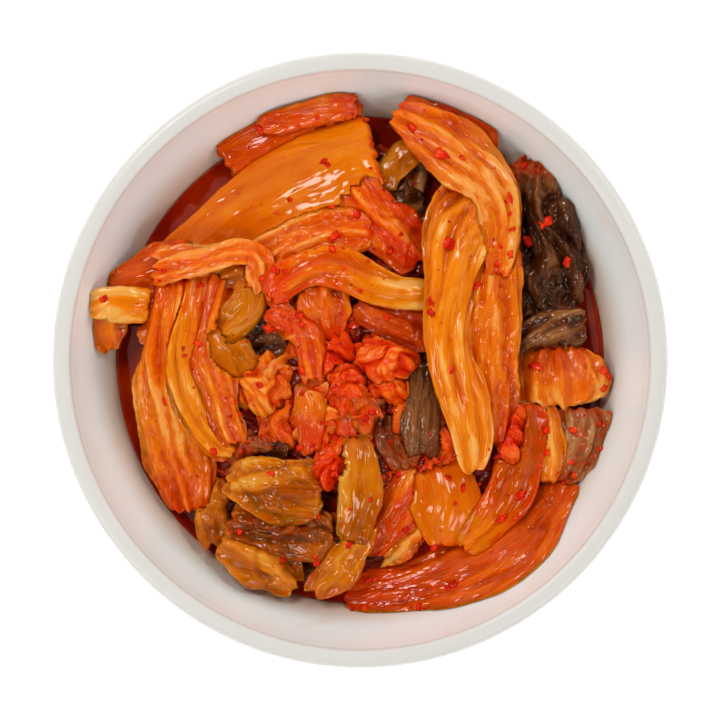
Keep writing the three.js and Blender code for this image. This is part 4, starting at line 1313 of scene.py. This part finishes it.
# %% The green bunch
green_bunch = [
    strip(
        "green_stem",
        "green_leaf",
        [
            (-1.4, -14.8, 46.6, 0.9, 0, 50, 0.7, 0.5),
            (0, -19, 48.4, 2.6, 0, 80, 0.8, 0.1),
            (0.2, -26, 48.8, 3.2, 0, 90, 0.8, 0),
            (-1, -32, 47.8, 2.8, 0, 90, 0.8, 0),
            (-2.6, -36, 46.4, 1.7, 0, 60, 0.6, 0.1),
        ],
        middle=2.4,
        crumple=0.3,
        fineness=0.45,
        fold=0.1,
    ),
    strip(
        "green_lobe",
        "green_leaf",
        [
            (-26.6, -23.4, 45.6, 1.3, 0, 50, 0.75, 0),
            (-23, -24.4, 47.8, 3.6, 0, 80, 0.75, 0),
            (-16, -25.4, 48.6, 5, 0, 80, 0.65, 0.1),
            (-7.6, -26, 47.4, 5, 0, 60, 0.6, 0.2),
        ],
        slant=1,
        rib_height=0.4,
        flakes=((0.56, 0.55, 2.4),),
    ),
    strip(
        "green_heel",
        "green_leaf",
        [
            (2, -32.6, 45.6, 1, 0, 50, 0.7, 0.3),
            (-0.6, -37, 46.6, 2.2, 0, 80, 0.8, 0.1),
            (-4.6, -42, 46, 2.7, 0, 80, 0.75, 0.1),
            (-9.2, -47, 44.2, 1.6, 0, 60, 0.6, 0.3),
        ],
        middle=2,
        crumple=0.5,
        flakes=((0.38, -0.5, 2.2),),
    ),
    strip(
        "green_heart",
        "green_leaf",
        [
            (-25.6, -31, 45.6, 2.6, 0, 40, 0.4, 0.25),
            (-18, -32.8, 46.6, 4.6, 0, 60, 0.4, 0.2),
            (-10.6, -34.6, 46.6, 5, 0, 60, 0.45, 0.15),
            (-4.6, -34.4, 45.4, 3.2, 0, 40, 0.5, 0.1),
        ],
        rib_height=0.5,
        ruffle=0.6,
        crumple=1.8,
        size=4.5,
        flakes=((0.76, 0.8, 2.2),),
    ),
    strip(
        "green_foot",
        "green_leaf",
        [
            (-27.8, -35.6, 44.4, 1.8, 0, 40, 0.6, 0.2),
            (-23, -38.2, 45.8, 4, 0, 70, 0.7, 0.1),
            (-17, -41, 45.6, 4.2, 0, 80, 0.7, 0),
            (-12.4, -44.8, 43.6, 1.8, 0, 60, 0.4, 0),
        ],
        slant=-0.8,
        rib_height=0.4,
        ruffle=0.5,
        flakes=((0.7, 0.6, 2),),
    ),
    strip(
        "green_side",
        "green_leaf",
        [
            (-28.4, -23.4, 43.4, 1.2, 0, 50, 0.6, 0.1),
            (-30, -28, 44.6, 1.9, 0, 80, 0.6, 0),
            (-29.6, -33, 44, 1.9, 0, 80, 0.55, 0),
            (-28.8, -37.4, 42.6, 1, 0, 50, 0.4, 0),
        ],
    ),
]
print("green bunch:", len(green_bunch), "pieces")

# %% [markdown]
# Ribs and leaf look out from under the long leaf on the right.

# %% The leaf under the long leaf
right_pieces = [
    strip(
        "right_tail",
        "stem",
        [
            (33.6, -8.6, 44.6, 2.2, 0, 50, 0.2, 0.3),
            (33, -14.6, 45.4, 3.4, 0, 70, 0.1, 0.2),
            (32, -21.4, 45.4, 4.1, 0, 80, 0.15, 0.2),
            (29.4, -27.6, 44.6, 3.9, 0, 80, 0.3, 0.25),
            (25.4, -33, 43.4, 3, 0, 80, 0.75, 0.15),
            (20.8, -38, 42, 1.8, 0, 60, 0.75, 0.05),
        ],
        middle=2.2,
        edge_red=0.3,
        flakes=((0.55, 0.5, 2.8), (0.72, 0.4, 2.2)),
    ),
    strip(
        "right_head",
        "leaf",
        [
            (39.8, 2.8, 42.4, 6.4, 0, 60, 0.45, 0.2),
            (39.8, -3, 44.8, 9, 0, 80, 0.75, 0.05),
            (40.2, -9, 44.8, 9.2, 0, 90, 0.95, 0),
        ],
        ribs=4,
        rib_height=0.35,
        vein=0.7,
        vein_gap=1.9,
        crumple=0.15,
        flakes=((0.38, 0.65, 3), (0.35, -0.55, 2.6)),
    ),
    strip(
        "right_rib",
        "stem",
        [
            (36.2, -8.4, 44, 1.8, 0, 60, 0.6, 0.2),
            (37.2, -14, 45, 2.8, 0, 80, 0.8, 0.1),
            (38, -19.4, 44, 2.6, 0, 80, 0.8, 0.1),
            (37.6, -24.6, 42.4, 1.2, 0, 60, 0.6, 0.3),
        ],
        rib_height=0.1,
    ),
    strip(
        "right_leaf",
        "dark_leaf",
        [
            (43.8, -9.4, 43.4, 4.8, 0, 60, 0.85, 0.45),
            (43.8, -14.4, 43.6, 5.6, 0, 70, 0.95, 0.35),
            (42, -19.4, 42.8, 5, 0, 70, 0.95, 0.35),
            (39.6, -24.4, 40.8, 2.2, 0, 50, 0.5, 0.4),
        ],
        rib_height=0.4,
    ),
]
print("right:", len(right_pieces), "pieces")

# %% [markdown]
# One outer leaf is browned, and deeply wrinkled across its length.

# %% The dark wrinkled leaf
dark_leaf = [
    strip(
        "dark_fold",
        "dark_leaf",
        [
            (45, 8.2, 43.6, 2.4, 0, 50, 0.55, 0.1),
            (39.6, 6.4, 44.8, 4, 0, 80, 0.65, 0.1),
            (34.4, 3.2, 44.6, 3.8, 0, 80, 0.55, 0.1),
            (30.4, -0.6, 43, 1.8, 0, 50, 0.4, 0),
        ],
        rib_height=0.4,
        vein=1.2,
        vein_gap=1.7,
        crumple=0.3,
        edge_red=0,
    ),
    strip(
        "dark_blade",
        "dark_leaf",
        [
            (34.4, 41, 44.6, 2.2, 0, 40, 0.8, 1.1),
            (34.8, 34, 45.4, 5.6, 0, 60, 0.5, 0.1),
            (35.8, 25.4, 45.4, 7.8, 0, 70, 0.45, 0),
            (36.9, 16.6, 44.8, 8.4, 0, 70, 0.45, 0),
            (37.6, 9, 43, 7.4, 0, 50, 0.4, 0),
        ],
        ribs=3,
        rib_height=0.6,
        vein=1.6,
        vein_gap=3.4,
        slant=0.8,
        crumple=2.4,
        size=5,
        fold=0.15,
        waves=3,
        ruffle=0.7,
        edge_red=0,
        flakes=((0.24, 0.3, 2.6), (0.45, 0.15, 3), (0.54, -0.35, 2.2), (0.68, 0.55, 2)),
    ),
]
print("dark leaf:", len(dark_leaf), "pieces")

# %% [markdown]
# A chunk of rib at the bottom was cut square, so its ends stay broad, and its top is nearly smooth.

# %% The cut chunk
cut_pieces = [
    strip(
        "cut_chunk",
        "stem",
        [
            (15.6, -21, 43, 4.2, 0, 40, 0.5, 0.25),
            (17.4, -27.6, 44.2, 6.6, 0, 60, 0.55, 0.1),
            (17.6, -33.4, 43.2, 6, 0, 60, 0.6, 0.15),
            (17.6, -37.6, 41.6, 2.4, 0, 40, 0.6, 0.35),
        ],
        middle=2.6,
        vein=0.2,
        fineness=0.5,
        fold=0.12,
        round_end=1.2,
        end_width=0.8,
        flakes=((0.27, 0.55, 1.8),),
    ),
    strip(
        "cut_sliver",
        "leaf",
        [
            (11.4, -22.6, 43.4, 2.4, 0, 50, 0.7, 0.35),
            (9.2, -27.6, 44, 3.6, 0, 70, 0.65, 0.3),
            (5.2, -33, 43.4, 3.4, 0, 70, 0.55, 0.25),
            (1.2, -39, 41.6, 2.2, 0, 50, 0.5, 0.2),
        ],
        middle=2,
        crumple=0.2,
    ),
]
print("cut pieces:", len(cut_pieces), "pieces")

# %% [markdown]
# Stems and scraps of leaf show in the gaps. They are small, and most are browned.

# %% Scraps in the gaps
scraps = [
    strip(
        "dark_stem",
        "dark_leaf",
        [
            (13.4, -0.4, 45, 1.8, 0, 60, 0.4, 0),
            (12.8, -7.6, 45.2, 2.7, 0, 80, 0.7, 0),
            (12.4, -14.6, 44.6, 2.9, 0, 80, 0.75, 0),
            (12.2, -19.6, 43, 1.8, 0, 60, 0.7, 0.2),
        ],
        middle=2,
        rib_height=0.1,
        vein=0.3,
        crumple=0.2,
        edge_red=0,
    ),
    strip(
        "thin_strand",
        "leaf",
        [
            (8.8, -4, 45.2, 0.7, 0, 60, 0.5, 0.4),
            (8.6, -9.6, 45.4, 1, 0, 80, 0.6, 0.3),
            (8, -15, 44.6, 0.9, 0, 80, 0.5, 0.2),
        ],
        middle=1.2,
        rib_height=0,
        ruffle=0.1,
        crumple=0.1,
    ),
    strip(
        "brown_leaf",
        "dark_leaf",
        [
            (5.6, -10.4, 43.6, 2, 0, 50, 0.5, 0.3),
            (6.6, -14.6, 44.6, 3, 0, 60, 0.6, 0.3),
            (8.4, -19, 44, 2.6, 0, 60, 0.7, 0.4),
            (9.4, -22, 42.8, 1.4, 0, 50, 0.7, 0.6),
        ],
    ),
    strip(
        "purple_leaf",
        "dark_leaf",
        [
            (1.6, 10, 45.2, 1.5, 0, 50, 0.6, 0.1),
            (6.8, 7.2, 46, 2.2, 0, 60, 0.5, 0.1),
            (11.4, 4, 45.6, 2.4, 0, 60, 0.5, 0.1),
            (13, -0.6, 44.6, 1.2, 0, 50, 0.5, 0),
        ],
    ),
    strip(
        "olive_leaf",
        "dark_leaf",
        [
            (-24.2, 3, 44.6, 2.6, 0, 30, 0.5, 0),
            (-20, 5.4, 45.6, 4.2, 0, 40, 0.55, 0),
            (-14.6, 5.6, 45.2, 3.8, 0, 40, 0.6, 0.05),
        ],
        flakes=((0.72, 0.15, 3),),
    ),
]
print("scraps:", len(scraps), "pieces")

# %% [markdown]
# A slice of green onion and a piece of its leaf lie at the top.

# %% Green onion
onion_pieces = [
    strip(
        "onion_slice",
        "green_leaf",
        [
            (4.8, 34, 43.6, 1.5, 0, 70, 0.7, 0),
            (6.6, 37.6, 44.8, 1.9, 0, 100, 0.9, 0),
            (9.8, 41, 45.2, 1.8, 0, 100, 0.8, 0),
            (12, 42.8, 44.4, 0.9, 0, 70, 0.6, 0),
        ],
        rib_height=0.1,
        crumple=0.1,
        edge_red=0,
    ),
    strip(
        "onion_leaf",
        "dark_leaf",
        [
            (5.4, 31.2, 42.6, 2.2, 0, 50, 0.7, 0),
            (9, 30.4, 43.4, 3.6, 0, 60, 0.8, 0),
            (13.4, 31.4, 43, 3, 0, 50, 0.6, 0),
        ],
    ),
]
print("green onion:", len(onion_pieces), "pieces")

# %% [markdown]
# The last leaf floats in the brine along the wall. It is long and thin, with wavy edges.

# %% The floating leaf
floating_pieces = [
    strip(
        "floating_leaf",
        "leaf",
        [
            (-3, -47.4, 39, 1.6, -10, 20, 0.3, 0.5),
            (8, -46, 40.2, 4.6, -22, 20, 0.35, 0.3),
            (18.5, -42.4, 41.6, 7.4, -32, 20, 0.45, 0.15),
            (29, -36.2, 43, 9, -38, 24, 0.5, 0.05),
            (36.6, -28.6, 41.6, 6, -30, 24, 0.4, 0.1),
            (40.8, -22.5, 39.4, 2.4, -15, 20, 0.3, 0.2),
        ],
        middle=1.3,
        rib_height=0.15,
        waves=3,
        vein=0.35,
        crumple=0.15,
        fineness=0.6,
        fold=0.15,
        edge_red=0.35,
        flakes=((0.38, -0.4, 2.4),),
    ),
]
print("floating:", len(floating_pieces), "pieces")

# %% All pieces, from the top down
pieces = (
    long_leaf
    + arch_pieces
    + fan_edge
    + fan_layers
    + left_end
    + middle_pieces
    + upper_pieces
    + green_bunch
    + right_pieces
    + dark_leaf
    + cut_pieces
    + scraps
    + onion_pieces
    + floating_pieces
)
print("all pieces:", len(pieces))

# %% Build and lay every piece
SEED_STEP = 31.7  # each piece has its own part of the noise
triangles = 0
leaves = []
for number, piece in enumerate(pieces):
    build = build_strip if "stations" in piece else build_lump
    mesh = build(piece, seed=SEED_STEP * (number + 1))
    lay(mesh)
    triangles += sum(len(face.verts) - 2 for face in mesh.faces)
    name, finish = piece["name"], piece["finish"]
    leaves.append(add_piece(mesh, "kimchi_" + name, FINISHES[finish], name))
print("pieces:", len(leaves), "triangles:", triangles)

# %% [markdown]
# ## The imported heart
#
# Between the pieces one looks down on more kimchi. Its dark colour is partly brine-soaked kimchi and partly
# painted shade for the deep gaps. It is one mound, spun like the bowl and then made lumpy, and it gives way
# under the pieces in the same manner as they do to each other.

# %% Spin the heart
HEART_RADIUS = 45.5
HEART_CROWN = 46
HEART_SHOULDER = 36
HEART_FLOOR = 14

crown = []
for i in range(90):
    share = (i / 89) ** 0.8
    crown.append((HEART_RADIUS * share, HEART_CROWN - (HEART_CROWN - HEART_SHOULDER) * share**3))
under = [(0, HEART_FLOOR)] + [(inner_radius(z) - 5, z) for z in (18, 25, 32)]
heart_mesh = spin_profile(under + crown[::-1], steps=220)
print("heart:", len(heart_mesh.verts), "corners")

# %% Crumple the heart
HEART_LUMPS, HEART_CRUMPLES = 1.2, 2  # heights in mm
HEART_CRUMPLE_SIZE = {"size": 4.5}  # mm
HEART_SEED = 5.5
layers = [heart_mesh.verts.layers.float.new(n) for n in ("tone", "red", "crest")]
layers.append(heart_mesh.verts.layers.float_vector.new("grain"))
for vert in heart_mesh.verts:
    x, y, z = vert.co
    crest = 0.5
    if z > BRINE_LEVEL:
        away = math.hypot(x, y) / HEART_RADIUS
        lumps = math.sin(0.32 * x + 0.2 * y) * math.cos(0.27 * y - 0.16 * x)
        crest = crumples_at(HEART_CRUMPLE_SIZE, x, y, HEART_SEED)
        z += (HEART_LUMPS * lumps + HEART_CRUMPLES * (crest - 0.5)) * (1 - away**6)
        vert.co.z = min(z, roof_over(x, y))
    vert[layers[0]] = 0.2
    vert[layers[1]] = 0.45
    vert[layers[2]] = crest
    vert[layers[3]] = (x, y, 0)
lay(heart_mesh)
# Painted shade, in part: dark colours and a low tone, so the deep gaps between the pieces look shaded.
soaked_and_shaded = leaf_material(
    "Packed kimchi soaked in brine",
    ("#2a0703", "#6a1c06", "#b5480f", "#c87030"),
    paste="#8f1404",
    subsurface=0.1,
    speckle=1.0,
)
heart = add_piece(heart_mesh, "packed_kimchi", soaked_and_shaded, "packed_heart")
leaves.append(heart)
print("heart:", len(heart.data.polygons), "faces")

# %% [markdown]
# ## Shreds in the gaps
#
# Pieces of kimchi tear when they are packed and served, and the shreds fill every gap. They are short, narrow
# strips, made by the same function as the large leaves. Each lies on the heart or on a crumpled lump and slips
# under the long pieces beside it. A table says which kind of leaf fills the gaps in each part of the bowl: a
# shred takes after the nearest row. Where a row names no kind, the brine stays open.

# %% What fills the gaps
# Painted shade, in part: the dark_leaf rows with a low tone put dark shreds in the deep gaps, as between
# long_back and dark_blade, where the gaps lie in shade.
gap_filling = [  # x, y, finish, tone, red
    (-19, -14, "dark_leaf", 0.5, 0.5),
    (-25, -11, "leaf", 0.4, 0.4),
    (-26, -20, "dark_leaf", 0.5, 0.6),
    (-14, -3, "leaf", 0.6, 0.35),
    (-17, 10, "dark_leaf", 0.7, 0.3),
    (-12, 13, "leaf", 0.6, 0.4),
    (-1, 8, "red_leaf", 0.5, 0.8),
    (-12, -10, "leaf", 0.6, 0.4),
    (-2, -12, "leaf", 0.55, 0.5),
    (2, -2, "red_leaf", 0.5, 0.7),
    (9, -13, "dark_leaf", 0.5, 0.3),
    (16, -8, "dark_leaf", 0.3, 0.1),
    (8, 11, "leaf", 0.5, 0.3),
    (-8, 21, "leaf", 0.6, 0.3),
    (-24, 22, "leaf", 0.6, 0.3),
    (4, 20, "red_leaf", 0.5, 0.6),
    (11, 25, "leaf", 0.4, 0.4),
    (9, 36, "dark_leaf", 0.8, 0.3),
    (2, 47, "leaf", 0.4, 0.5),
    (30, 42, "dark_leaf", 0.3, 0.1),
    (32, 22, "dark_leaf", 0.2, 0.1),
    (43, 15, "red_leaf", 0.5, 0.4),
    (34, 8, "dark_leaf", 0.3, 0.3),
    (32, -5, "red_leaf", 0.5, 0.6),
    (37, -12, "red_leaf", 0.5, 0.5),
    (27, -23, "dark_leaf", 0.4, 0.6),
    (15, -20, "red_leaf", 0.5, 0.5),
    (8, -24, "red_leaf", 0.4, 0.5),
    (4, -32, "leaf", 0.5, 0.3),
    (11, -34, "leaf", 0.6, 0.3),
    (24, -32, "leaf", 0.5, 0.4),
    (-10, -42, "green_leaf", 0.5, 0.2),
    (-27, -30, "green_leaf", 0.4, 0.2),
    (-20, -28, "green_leaf", 0.5, 0.2),
    (-6, -30, "green_leaf", 0.5, 0.4),
    (-33, -22, "leaf", 0.5, 0.5),
    (4, -43, None, 0, 0),
    (14, -44, None, 0, 0),
    (-44, -8, None, 0, 0),
    (-46, 8, None, 0, 0),
    (-36, 30, None, 0, 0),
]
print("rows for the gaps:", len(gap_filling))

# %% Look for gaps
lumps = [entry for entry, piece in zip(laid, pieces) if "centre" in piece]
strips = [entry for entry, piece in zip(laid, pieces) if "stations" in piece]


def ground_at(x, y):
    """Height of the heart, or of the lump that lies on it."""
    tops = [top_at(search, x, y)[0] for search, low, high in lumps + laid[-1:]]
    return max([top.z for top in tops if top], default=BRINE_LEVEL - 2)


def covered_at(x, y):
    """Whether a strip or a lump lies at this place."""
    return any(top_at(search, x, y)[0] for search, low, high in strips + lumps)


print("height of the ground in the middle:", round(ground_at(0, 0), 1), "mm")

# %% Strew the shreds
SHRED_TRIES, SHRED_REACH = 560, 44  # number, and farthest place from the middle in mm
SHRED_FORM = {"step": 0.42, "middle": 0.9, "edge": 0.5, "rib_height": 0.2}
SHRED_FORM |= {"margin": 0, "ribs": 1, "ruffle": 0.8}
rng = random.Random(5)
shred_meshes = {}
shreds = 0
for attempt in range(SHRED_TRIES):
    angle, away = rng.uniform(0, 2 * math.pi), SHRED_REACH * math.sqrt(rng.random())
    heading = rng.uniform(0, math.pi)
    x, y = away * math.cos(angle), away * math.sin(angle)
    length, half_width, turn = rng.uniform(6, 14), rng.uniform(1.8, 3.8), rng.uniform(-1, 1)
    rise, roll, arch = rng.uniform(0.2, 1.6), rng.uniform(-25, 25), rng.uniform(30, 100)
    paler, redder = rng.gauss(0, 0.2), rng.gauss(0, 0.2)
    nearest = min(gap_filling, key=lambda row: math.hypot(row[0] - x, row[1] - y))
    finish, tone, red = nearest[2:]
    if finish is None or covered_at(x, y):
        continue
    rows = []
    for i in range(4):
        part = i / 3 - 0.5
        bearing = heading + turn * part
        px, py = x + part * length * math.cos(bearing), y + part * length * math.sin(bearing)
        pz = ground_at(px, py) + rise - 1.6 * abs(part)
        wide = half_width * (1.2 - abs(part))
        rows.append((px, py, pz, wide, roll, arch, tone + paler, max(red + redder, 0)))
    shred = strip("shred", finish, rows, **SHRED_FORM)
    if finish not in shred_meshes:
        shred_meshes[finish] = new_leaf_mesh()
    add_strip(*shred_meshes[finish], shred, 900 + 3.3 * attempt, strips)
    shreds += 1
for finish, (shred_mesh, layers) in shred_meshes.items():
    lay(shred_mesh)
    leaves.append(add_piece(shred_mesh, "shreds_" + finish, FINISHES[finish]))
    print(finish, "shreds:", len(leaves[-1].data.polygons), "faces")
print("shreds:", shreds)

# %% [markdown]
# ## The brine
#
# Brine is water, salt, chilli oil and pigment. A thick layer of it swallows all but red light, so a dark red,
# glossy solid stands in for it, with an index a little above that of water (1.34). At the wall it climbs a
# little, by surface tension, and its surface swells slightly where oil floats on it.

# %% Spin the brine
CLIMB, CLIMB_WIDTH = 0.5, 1.2  # mm: how high the brine climbs at the wall, and over what width
brine_radius = inner_radius(BRINE_LEVEL) - WALL_GAP
surface_line = []
for i in range(120):
    radius = brine_radius * i / 119
    climb = CLIMB * math.exp(-(brine_radius - radius) / CLIMB_WIDTH)
    surface_line.append((radius, BRINE_LEVEL + climb))
wall_line = [
    (inner_radius(z - WALL_GAP) - WALL_GAP, z)
    for z in heights(FLOOR_TOP + WALL_GAP, BRINE_LEVEL, 14)
]
wall_line[0] = (0, FLOOR_TOP + WALL_GAP)
brine_mesh = spin_profile(surface_line + wall_line[-2::-1], steps=200)
print("brine radius:", round(brine_radius, 1), "mm")

# %% The brine's finish
liquor, tree, output = new_material("Kimchi brine with chilli oil")
spot = add(tree, "ShaderNodeTexCoord").outputs["Object"]
depth = add(
    tree, "ShaderNodeTexNoise", {"Vector": spot, "Scale": per_mm(14), "Detail": 2.0}
).outputs[0]
reds = [(0.3, "#680a02"), (0.5, "#9a2203"), (0.7, "#b23a04")]
tint = add(tree, "ShaderNodeValToRGB", {"Fac": depth}, stops=reds).outputs["Color"]
swell = add(
    tree, "ShaderNodeTexNoise", {"Vector": spot, "Scale": per_mm(7), "Detail": 1.0}
).outputs[0]
bump = add(
    tree, "ShaderNodeBump", {"Height": swell, "Strength": 0.5, "Distance": 0.6 * MM}
).outputs[0]
wet = add(
    tree,
    "ShaderNodeBsdfPrincipled",
    {
        "Base Color": tint,
        "Roughness": 0.05,
        "IOR": 1.34,
        "Subsurface Weight": 0.3,
        "Subsurface Radius": (1.0, 0.15, 0.05),
        "Subsurface Scale": 3 * MM,
        "Normal": bump,
    },
)
tree.links.new(wet.outputs[0], output.inputs[0])
brine = add_piece(brine_mesh, "kimchi_brine", liquor, "brine")
print("brine:", len(brine.data.polygons), "faces")

# %% [markdown]
# ## Chilli flakes
#
# Dried chilli is crushed, so its flakes are thin, angular chips. The large ones have their places in the CAD
# part. Each is a small ball that is flattened and dented. Hundreds of smaller bits are scattered where the
# paste clings: a ray from above finds the leaf, and the redder the leaf is there, the more bits stay on it.

# %% The chilli's finish
chilli, tree, output = new_material("Crushed dried chilli, soaked")
spot = add(tree, "ShaderNodeTexCoord").outputs["Object"]
variety = add(
    tree, "ShaderNodeTexNoise", {"Vector": spot, "Scale": per_mm(2), "Detail": 2.0}
).outputs[0]
reds = [(0.35, "#c01800"), (0.5, "#e42c00"), (0.68, "#f4500c")]
tint = add(tree, "ShaderNodeValToRGB", {"Fac": variety}, stops=reds).outputs["Color"]
chip = add(
    tree,
    "ShaderNodeBsdfPrincipled",
    {
        "Base Color": tint,
        "Roughness": 0.4,
        "Specular IOR Level": 0.1,
        "Subsurface Weight": 0.2,
        "Subsurface Radius": (1.0, 0.2, 0.1),
        "Subsurface Scale": 0.8 * MM,
        "Coat Weight": 0.5,
        "Coat Roughness": 0.08,
        "Coat IOR": 1.35,
    },
)
tree.links.new(chip.outputs[0], output.inputs[0])
print("nodes for chilli:", len(tree.nodes))


# %% One chip, and the large flakes
def add_chip(bm, point, normal, length, width, thickness, turn, detail):
    """Add one dented chip that lies on a surface."""
    made = bmesh.ops.create_icosphere(bm, subdivisions=detail, radius=1)
    lie = Vector((0, 0, 1)).rotation_difference(normal)
    spin = Quaternion((0, 0, 1), turn)
    for vert in made["verts"]:
        x, y, z = vert.co
        dent = 1 + 0.8 * noise.noise(vert.co * 1.6 + Vector((turn * 9, point.x, point.y)))
        shaped = Vector((x * length * dent, y * width * dent, z * thickness))
        shaped.rotate(spin)
        shaped.rotate(lie)
        vert.co = point + shaped


flake_mesh = bmesh.new()
flakes = 0
for piece in pieces:
    for u, v, size in piece.get("flakes", ()):
        axes = axes_at(piece["stations"], u)
        point, normal = section_point(piece, axes, u, v)
        add_chip(flake_mesh, point, normal, size / 2, size / 3, 0.4, 7 * u + 5 * v, 3)
        flakes += 1
add_piece(flake_mesh, "chilli_flakes", chilli)
print("flakes:", flakes)

# %% Scatter the small bits
BIT_TRIES, BIT_REACH = 5200, 52  # number, and farthest place from the middle in mm
CLEAN, STRAY = 0.15, 0.03  # the redness that holds no bit, and the chance that one strays there
rng = random.Random(11)
bit_mesh = bmesh.new()
bits = 0
for attempt in range(BIT_TRIES):
    angle, away = rng.uniform(0, 2 * math.pi), BIT_REACH * math.sqrt(rng.random())
    x, y = away * math.cos(angle), away * math.sin(angle)
    best = None
    for (search, low, high), leaf in zip(laid, leaves, strict=True):
        if low[0] <= x <= high[0] and low[1] <= y <= high[1]:
            hit, normal, face, _ = top_at(search, x, y)
            if hit and (best is None or hit.z > best[0].z):
                best = (hit, normal, face, leaf)
    chance, size, turn = rng.random(), rng.random(), rng.uniform(0, 6)
    if best is None:
        continue
    hit, normal, face, leaf = best
    corner = leaf.data.polygons[face].vertices[0]
    redness = leaf.data.attributes["red"].data[corner].value
    if chance > STRAY + 0.8 * max(redness - CLEAN, 0):
        continue
    radius = 0.15 + 0.6 * size**3  # most are tiny
    add_chip(bit_mesh, hit, normal, radius * 1.3, radius, 0.6 * radius, turn, 2)
    bits += 1
add_piece(bit_mesh, "chilli_bits", chilli)
print("bits:", bits)

# %% [markdown]
# ## Floor, light and camera
#
# The floor is plain and nearly white. Four broad soft lights stand round the bowl. The ceiling is dim, with one
# weak light almost overhead, so the brine keeps its depth and it is the slopes that catch a glint. The camera
# looks straight down.

# %% Floor
floor_mesh = bmesh.new()
bmesh.ops.create_grid(floor_mesh, x_segments=1, y_segments=1, size=2)
mesh = bpy.data.meshes.new("floor")
floor_mesh.to_mesh(mesh)
floor_mesh.free()
floor = bpy.data.objects.new("floor", mesh)
bpy.context.scene.collection.objects.link(floor)
paper, tree, output = new_material("White paper backdrop")
grain = add(
    tree,
    "ShaderNodeTexNoise",
    {"Vector": add(tree, "ShaderNodeTexCoord").outputs["Object"], "Scale": per_mm(40)},
).outputs[0]
whites = [(0.3, "#f8f8f8"), (0.7, "#fafafa")]
tint = add(tree, "ShaderNodeValToRGB", {"Fac": grain}, stops=whites).outputs["Color"]
sheet = add(
    tree,
    "ShaderNodeBsdfPrincipled",
    {
        "Base Color": tint,
        "Roughness": 0.9,
        "Emission Color": (1, 1, 1, 1),
        "Emission Strength": 0.3,
    },
)
tree.links.new(sheet.outputs[0], output.inputs[0])
mesh.materials.append(paper)
print("floor:", floor.dimensions.x, "m wide")

# %% Room light
world = bpy.data.worlds.new("Bright room with a dim ceiling")
bpy.context.scene.world = world
world.use_nodes = True
tree = world.node_tree
tree.nodes.clear()
direction = add(tree, "ShaderNodeTexCoord").outputs["Generated"]
height = add(tree, "ShaderNodeSeparateXYZ", {0: direction}).outputs["Z"]
fill = add(
    tree,
    "ShaderNodeMapRange",
    {"Value": height, "From Min": 0.9, "From Max": 0.1, "To Min": 0.03, "To Max": 1.0},
    interpolation_type="SMOOTHSTEP",
).outputs[0]
room = add(tree, "ShaderNodeBackground", {"Color": (1.0, 0.99, 0.98, 1), "Strength": fill})
add(tree, "ShaderNodeOutputWorld", {0: room.outputs[0]})
print("world:", world.name)

# %% Softboxes
TARGET = Vector((0, 0, 45 * MM))
SOFTBOX_SIZE, SOFTBOX_DISTANCE = 0.2, 0.75  # metres
softboxes = [  # azimuth and elevation in degrees, power in watts
    (128, 60, 1.55),
    (38, 52, 0.9),
    (308, 50, 0.65),
    (218, 52, 0.9),
    (190, 80, 0.12),
]
for number, (azimuth, elevation, power) in enumerate(softboxes):
    around, above = math.radians(azimuth), math.radians(elevation)
    level = math.cos(above)
    away = Vector((math.cos(around) * level, math.sin(around) * level, math.sin(above)))
    lamp = bpy.data.lights.new(f"softbox_{number}", "AREA")
    lamp.shape = "SQUARE"
    lamp.size = SOFTBOX_SIZE
    lamp.energy = power
    softbox = bpy.data.objects.new(lamp.name, lamp)
    softbox.location = TARGET + away * SOFTBOX_DISTANCE
    softbox.rotation_euler = (-away).to_track_quat("-Z", "Y").to_euler()
    bpy.context.scene.collection.objects.link(softbox)
print("softboxes:", len(softboxes))

# %% Camera
CAMERA_HEIGHT = 0.558  # metres
lens = bpy.data.cameras.new("camera")
lens.sensor_width = 36  # mm
lens.lens = 128.8  # mm
lens.clip_start = 0.01
camera = bpy.data.objects.new("camera", lens)
camera.location = (0, 0, CAMERA_HEIGHT)
bpy.context.scene.collection.objects.link(camera)
bpy.context.scene.camera = camera
bpy.context.scene.view_settings.view_transform = "Standard"
bpy.context.scene.view_settings.look = "Medium High Contrast"
print("camera height:", CAMERA_HEIGHT, "m")
